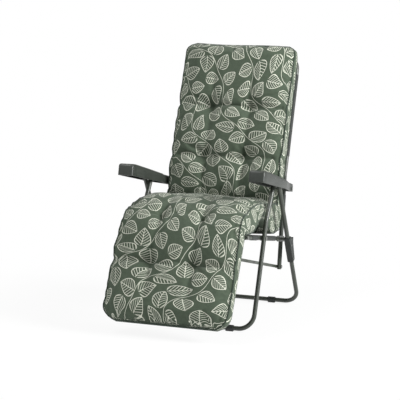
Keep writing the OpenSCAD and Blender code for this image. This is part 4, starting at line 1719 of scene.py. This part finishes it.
@dataclass
class Sling:
    """A sheet stretched over a body's two tubes, with a sewn hem loop round each.

    The tube is given by its ends, and the sheet lies between two shares of it. Between the
    bare shares of the sheet's own length the hems are left out.
    """

    name: str
    body: str
    tube: tuple[Array, Array]
    shares: Pair
    tube_x: float = PROFILE.seat_x
    out: int = 1
    bare: Pair = (1.0, 1.0)
    sag: float = 0.003
    gauge: float = 0.0011
    gap: float = 0.00015
    hem_turn: Pair = (-165, 90)
    hem_steps: int = 22
    tail: float = 0.022
    tail_steps: int = 6
    tail_lap: float = 2.2
    tail_tip: float = 0.35
    rows: int = 40
    flat_steps: int = 38

    def cross(self) -> Array:
        """Lays the sheet's cross-section as [x, out] points from one tail to the other.

        Returns:
            One row for each point.
        """
        r = PROFILE.tube_r + self.gap + self.gauge * 0.5
        angles = np.radians(np.linspace(*self.hem_turn, self.hem_steps))
        loop = np.stack([self.tube_x + r * np.cos(angles), r * np.sin(angles)], axis=1)
        tail_x = np.linspace(self.tube_x - r - self.tail, self.tube_x - r, self.tail_steps)
        tail = np.stack([tail_x, np.full_like(tail_x, r - self.gauge * self.tail_lap)], axis=1)
        tail[-1, 1] = r * self.tail_tip
        flat_x = np.linspace(self.tube_x, -self.tube_x, self.flat_steps + 2)[1:-1]
        flat = np.stack([flat_x, r - self.sag * (1 - (flat_x / self.tube_x) ** 2)], axis=1)
        right = np.concatenate([tail, loop])
        return np.concatenate([right, flat, right[::-1] * np.array([-1, 1])])

    def build(self, materials: Materials) -> Obj:
        """Args:
            materials: The built materials.

        Returns:
            The sheet.
        """
        section = self.cross()
        n = len(section)
        begin, end = (self.tube[0] + (self.tube[1] - self.tube[0]) * share
                      for share in self.shares)
        length = float(np.linalg.norm(end - begin))
        along = (end - begin) / length
        out = np.array([-along[1], along[0]]) * self.out
        points, faces = [], []
        for i in range(self.rows + 1):
            middle = begin + along * length * i / self.rows
            points += [[x, *(middle + out * height)] for x, height in section]
        hem = (n - self.flat_steps) // 2
        for i in range(self.rows):
            no_hem = self.bare[0] <= (i + 0.5) / self.rows <= self.bare[1]
            for j in range(hem, n - 1 - hem) if no_hem else range(n - 1):
                a = i * n + j
                faces.append((a, a + 1, a + n + 1, a + n))
        obj = mesh_of(self.name, np.array(points), faces)
        across = np.concatenate([[0], np.cumsum(np.linalg.norm(np.diff(section, axis=0), axis=1))])
        number = np.arange(len(points))
        lay_cloth(obj, across[number % n], number // n * length / self.rows)
        solid = obj.modifiers.new("gauge", "SOLIDIFY")
        solid.thickness, solid.offset = self.gauge, 0.0
        apply_modifiers(obj)
        smooth(obj, 50)
        obj = dress(settle(obj, self.name), materials[Finish.SLING])
        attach(obj, self.body)
        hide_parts(f"{self.body}_sling")
        return obj


def slings() -> list[Sling]:
    """Returns the lounger's four sheets.

    Returns:
        One sheet on the seat, two on the back and one on the footrest.
    """
    p = PROFILE
    top = p.back_bend + step(p.up_len, p.up_dir)
    toe = p.foot_hinge + step(p.foot_len, p.foot_dir)
    return [
        Sling("seat_sheet", "seat", (p.foot_hinge, p.back_hinge), (0.13, 0.8),
              bare=(0.235, 0.42)),
        Sling("back_sheet_low", "back", (p.back_hinge, p.back_bend), (0.36, 0.7)),
        Sling("back_sheet_up", "back", (p.back_bend, top), (0.16, 0.84)),
        Sling("foot_sheet", "footrest", (p.foot_hinge, toe), (0.34, 0.82), p.foot_x, -1),
    ]


# ---------------------------------------------------------------- armrests


@dataclass
class Armrest:
    """A moulded armrest: deep and wide in front, drawn in at its pivot.

    Stations, tops and lows are shares of the front length, which runs ahead of the pivot.
    """

    pivot: Array = field(default_factory=lambda: np.array([0.26278, 0.5086]))
    slope: float = 12.8
    front: float = 0.467
    inner: float = 0.242
    outer: float = 0.3055
    inner_rear: float = 0.2546
    outer_rear: float = 0.2786
    wall: float = 0.003
    sunk: float = 0.032
    edge: float = 0.009
    foot_edge: float = 0.12
    near: float = 2e-4
    stations: tuple[float, ...] = (-0.043, 0.0, 0.06, 0.15, 0.24, 0.30, 0.36, 0.5, 0.66, 0.8,
                                   0.92, 1.0)
    tops: tuple[Pair, ...] = ((-0.043, 0.0188), (0.0, 0.0226), (0.33, 0.0221), (0.66, 0.0259),
                              (0.98, 0.0282), (1.0, 0.0244))
    lows: tuple[Pair, ...] = ((-0.043, -0.0112), (0.25, -0.0151), (0.7, -0.0193),
                              (0.985, -0.0216), (1.0, -0.0216))

    @staticmethod
    def height(share: float, table: Sequence[Pair]) -> float:
        """Reads a height off a table of shares of the front length."""
        return float(np.interp(share, *zip(*table)))

    def widths(self, share: float) -> Pair:
        """Returns the inner and the outer X at a share of the front length."""
        return (blend(self.inner_rear, self.inner, (share - 0.24) / 0.06),
                blend(self.outer_rear, self.outer, (share - 0.06) / 0.30))

    def block(self) -> Obj:
        """Models the body of the left armrest in its own frame, ahead along -Y.

        Returns:
            The body, still solid and sharp-edged.
        """
        deselect()
        bpy.ops.mesh.primitive_cube_add(size=1, location=(0, 0, 0))
        arm = bpy.context.view_layer.objects.active
        rear, *between, tip = self.stations
        length = self.front * (tip - rear)
        middle = (self.outer + self.inner) / 2
        arm.scale = (self.outer - self.inner, length, 0.05)
        arm.location = (middle, -self.front * rear - length / 2, 0)
        bpy.ops.object.transform_apply(location=True, rotation=True, scale=True)
        bpy.ops.object.mode_set(mode="EDIT")
        for share in between:
            bpy.ops.mesh.select_all(action="SELECT")
            bpy.ops.mesh.bisect(plane_co=(0, -self.front * share, 0), plane_no=(0, 1, 0))
        bpy.ops.object.mode_set(mode="OBJECT")
        for vertex in arm.data.vertices:
            share = -vertex.co.y / self.front
            vertex.co.x = self.widths(share)[vertex.co.x > middle]
            vertex.co.z = self.height(share, self.tops if vertex.co.z > 0 else self.lows)
        return arm

    def hollow(self, arm: Obj) -> None:
        """Rounds the outer edges and sinks the underside between thin walls.

        Args:
            arm: The armrest's body.
        """
        only(arm)
        bpy.ops.object.mode_set(mode="EDIT")
        bpy.ops.mesh.select_mode(type="FACE")
        bpy.ops.mesh.select_all(action="DESELECT")
        bpy.ops.object.mode_set(mode="OBJECT")
        for polygon in arm.data.polygons:
            polygon.select = polygon.normal.z < -0.7
        bpy.ops.object.mode_set(mode="EDIT")
        bpy.ops.mesh.inset(thickness=self.wall, depth=0, use_even_offset=True)
        bpy.ops.mesh.extrude_region_move(TRANSFORM_OT_translate={"value": (0, 0, self.sunk)})
        bpy.ops.object.mode_set(mode="OBJECT")
        bevel = arm.modifiers.new("edges", "BEVEL")
        bevel.width, bevel.segments = self.edge, 4
        bevel.limit_method = "WEIGHT"
        weights = arm.data.attributes.new("bevel_weight_edge", "FLOAT", "EDGE")
        places = [vertex.co for vertex in arm.data.vertices]
        for edge in arm.data.edges:
            weights.data[edge.index].value = self.edge_weight([places[i] for i in edge.vertices])
        apply_modifiers(arm)

    def edge_weight(self, ends: Sequence[Vector]) -> float:
        """Returns how strongly an edge of the block is rounded, from its two ends.

        Args:
            ends: The edge's two ends.

        Returns:
            The share of the edge's full rounding.
        """

        def at(value: float, places: Sequence[float]) -> bool:
            """Tells whether a value is at one of some places."""
            return min(abs(value - place) for place in places) < self.near

        marks = [(end, -end.y / self.front) for end in ends]
        on_top = all(at(end.z, [self.height(share, self.tops)]) for end, share in marks)
        at_side = all(at(end.x, self.widths(share)) for end, share in marks)
        low = all(end.z < self.height(share, self.lows) + self.near for end, share in marks)
        first, second = (share for _, share in marks)
        inside = self.stations[0] + 0.001 <= first <= self.stations[-1] - 0.001
        at_end = abs(first - second) < 1e-4 and not inside
        if on_top and (at_side or at_end):
            return 1.0
        if at_end and at_side:
            return self.foot_edge if low else 1.0
        return 0.0

    def place(self, side: Side) -> Matrix:
        """Returns the transform from the armrest's own frame to a side of the lounger.

        Args:
            side: The side that the armrest is on.

        Returns:
            The transform.
        """
        lean = Matrix.Rotation(math.radians(-self.slope), 4, "X")
        put = Matrix.Translation((0, *self.pivot)) @ lean
        return Matrix.Scale(side.value, 4, (1, 0, 0)) @ put

    def build(self, materials: Materials) -> list[Obj]:
        """Models both armrests and puts each on its body.

        Args:
            materials: The built materials.

        Returns:
            The two armrests.
        """
        arm = self.block()
        self.hollow(arm)
        arm = settle(arm, "arm_form")
        pieces = []
        for side in Side:
            label = side.name.lower()
            piece = copy_of(arm, f"arm_{label}", self.place(side))
            smooth(piece, 40)
            dress(piece, materials[Finish.ARMREST])
            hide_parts(f"armrest_{label}")
            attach(piece, f"armrest_{label}")
            pieces.append(piece)
        bpy.data.objects.remove(arm)
        return pieces


# ---------------------------------------------------------------- frame and studio


# The tubes, bolts and fittings that keep the shape of the solids, by their finish.
METALWORK = {
    Finish.POWDER: ("front_leg_frame", "rear_leg_frame", "seat_frame", "seat_rest_bar",
                    "back_frame", "back_hinge_plates", "footrest_frame", "link_left",
                    "link_right"),
    Finish.ZINC: ("leg_pivot_pins", "seat_pivot_bolts", "cradle_rivets", "hinge_plate_rivets",
                  "back_hinge_bolts", "footrest_hinge_bolts", "armrest_bolts", "link_bolts",
                  "link_pins", "rack_left", "rack_right", "rack_screws_left",
                  "rack_screws_right"),
    Finish.FITTING: ("front_leg_caps", "front_foot_pads", "seat_pivot_washers", "rear_leg_caps",
                     "rear_foot_pads", "cradle_left", "cradle_right", "rest_bar_sleeves",
                     "seat_tube_caps", "footrest_hinge_washers", "back_tube_caps",
                     "armrest_washers", "footrest_caps"),
}


@dataclass(frozen=True)
class Lamp:
    """A soft square lamp that points at the lounger."""

    name: str
    place: Triple
    power: float
    size: float
    aim: Triple = (0, 0, 0.5)

    def hang(self) -> None:
        """Adds the lamp to the scene."""
        data = bpy.data.lights.new(self.name, "AREA")
        data.energy, data.size, data.shape = self.power, self.size, "SQUARE"
        obj = linked(self.name, data)
        obj.location = self.place
        towards = Vector(self.aim) - Vector(self.place)
        obj.rotation_euler = towards.to_track_quat("-Z", "Y").to_euler()


@dataclass
class Studio:
    """The camera at the photograph's angle, the pale floor and the soft light."""

    eye: Triple = (1.776, -4.7303, 1.227)
    aim: Triple = (-0.0552, 0.0677, 0.4680)
    roll: float = 0.35
    lens: float = 113.65
    floor_half: float = 9.0
    floor_tone: float = 0.86
    glow_zone: Pair = (0.6, 1.5)
    glow_near: float = 0.9
    surround: float = 0.36
    lamps: tuple[Lamp, ...] = (Lamp("key_lamp", (4.4, -0.5, 2.6), 350, 1.5),
                               Lamp("fill_lamp", (-2.0, -2.0, 4.4), 105, 2.2))

    def camera(self) -> None:
        """Places the camera."""
        data = bpy.data.cameras.new("camera")
        data.lens, data.sensor_width, data.clip_end = self.lens, 36, 60
        eye, aim = Vector(self.eye), Vector(self.aim)
        turn = (aim - eye).to_track_quat("-Z", "Y").to_matrix().to_4x4()
        obj = linked("camera", data)
        obj.matrix_world = (Matrix.Translation(eye) @ turn
                            @ Matrix.Rotation(math.radians(self.roll), 4, "Z"))
        bpy.context.scene.camera = obj

    def floor(self) -> None:
        """Lays the pale floor, which keeps a light shadow round the lounger."""
        deselect()
        bpy.ops.mesh.primitive_circle_add(vertices=96, radius=self.floor_half, fill_type="NGON")
        obj = settle(bpy.context.view_layer.objects.active, "studio_floor")
        material = bpy.data.materials.new("pale_floor")
        material.use_nodes = True
        graph = Graph(material.node_tree)
        spot = graph.add("ShaderNodeVectorMath", operation="LENGTH")
        graph.put(graph.add("ShaderNodeTexCoord").outputs["Object"], spot.inputs[0])
        fade = graph.band(spot.outputs["Value"], *self.glow_zone, self.glow_near, 1.0)
        matt = graph.feed(graph.add("ShaderNodeBsdfDiffuse"), Color=(*[self.floor_tone] * 3, 1))
        glow = graph.feed(graph.add("ShaderNodeEmission"), Color=(1, 1, 1, 1), Strength=1.0)
        seen = seen_by(graph, "Is Camera Ray", "Is Glossy Ray")
        mixed = graph.add("ShaderNodeMixShader")
        for socket, value in zip(mixed.inputs, (seen * fade, matt.outputs[0], glow.outputs[0])):
            graph.put(value, socket)
        graph.feed(graph.add("ShaderNodeOutputMaterial"), Surface=mixed.outputs[0])
        dress(obj, material)

    def world(self) -> None:
        """Sets a soft pale surround that shows as white."""
        world = bpy.data.worlds.new("soft_surround")
        bpy.context.scene.world = world
        world.use_nodes = True
        graph = Graph(world.node_tree)
        seen = seen_by(graph, "Is Camera Ray", "Is Transmission Ray")
        back = graph.feed(graph.add("ShaderNodeBackground"), Color=(1, 1, 1, 1),
                          Strength=graph.band(seen, 0.0, 1.0, self.surround, 1.0))
        graph.feed(graph.add("ShaderNodeOutputWorld"), Surface=back.outputs[0])

    def build(self) -> None:
        """Builds the camera, the floor, the surround and the lamps."""
        bpy.context.scene.view_settings.view_transform = "Standard"
        self.camera()
        self.floor()
        self.world()
        for lamp in self.lamps:
            lamp.hang()


def seen_by(graph: Graph, first: str, second: str) -> Term:
    """Returns 1 for rays of either of two kinds, and 0 for the others."""
    path = graph.add("ShaderNodeLightPath")
    return Term(graph, path.outputs[first]).calc("MAXIMUM", path.outputs[second])


def main() -> None:
    """Builds the studio, the finishes and each sub-assembly in order."""
    logging.basicConfig(level=logging.INFO, format="%(name)s: %(message)s")
    Studio().build()
    effects = Effects()
    materials = {finish: finish.value.build(effects) for finish in Finish}
    for finish, names in METALWORK.items():
        for name in names:
            dress_node(name, materials[finish])
        LOG.info("dressed %d solids in %s", len(names), finish.value.name)
    pieces = Armrest().build(materials)
    pieces += [sheet.build(materials) for sheet in slings()]
    for cushion in (BackCushion(), SeatCushion()):
        pieces += cushion.build(materials)
    for piece in pieces:
        LOG.info("made %s, %d faces", piece.name, len(piece.data.polygons))


if __name__ == "__main__":
    main()
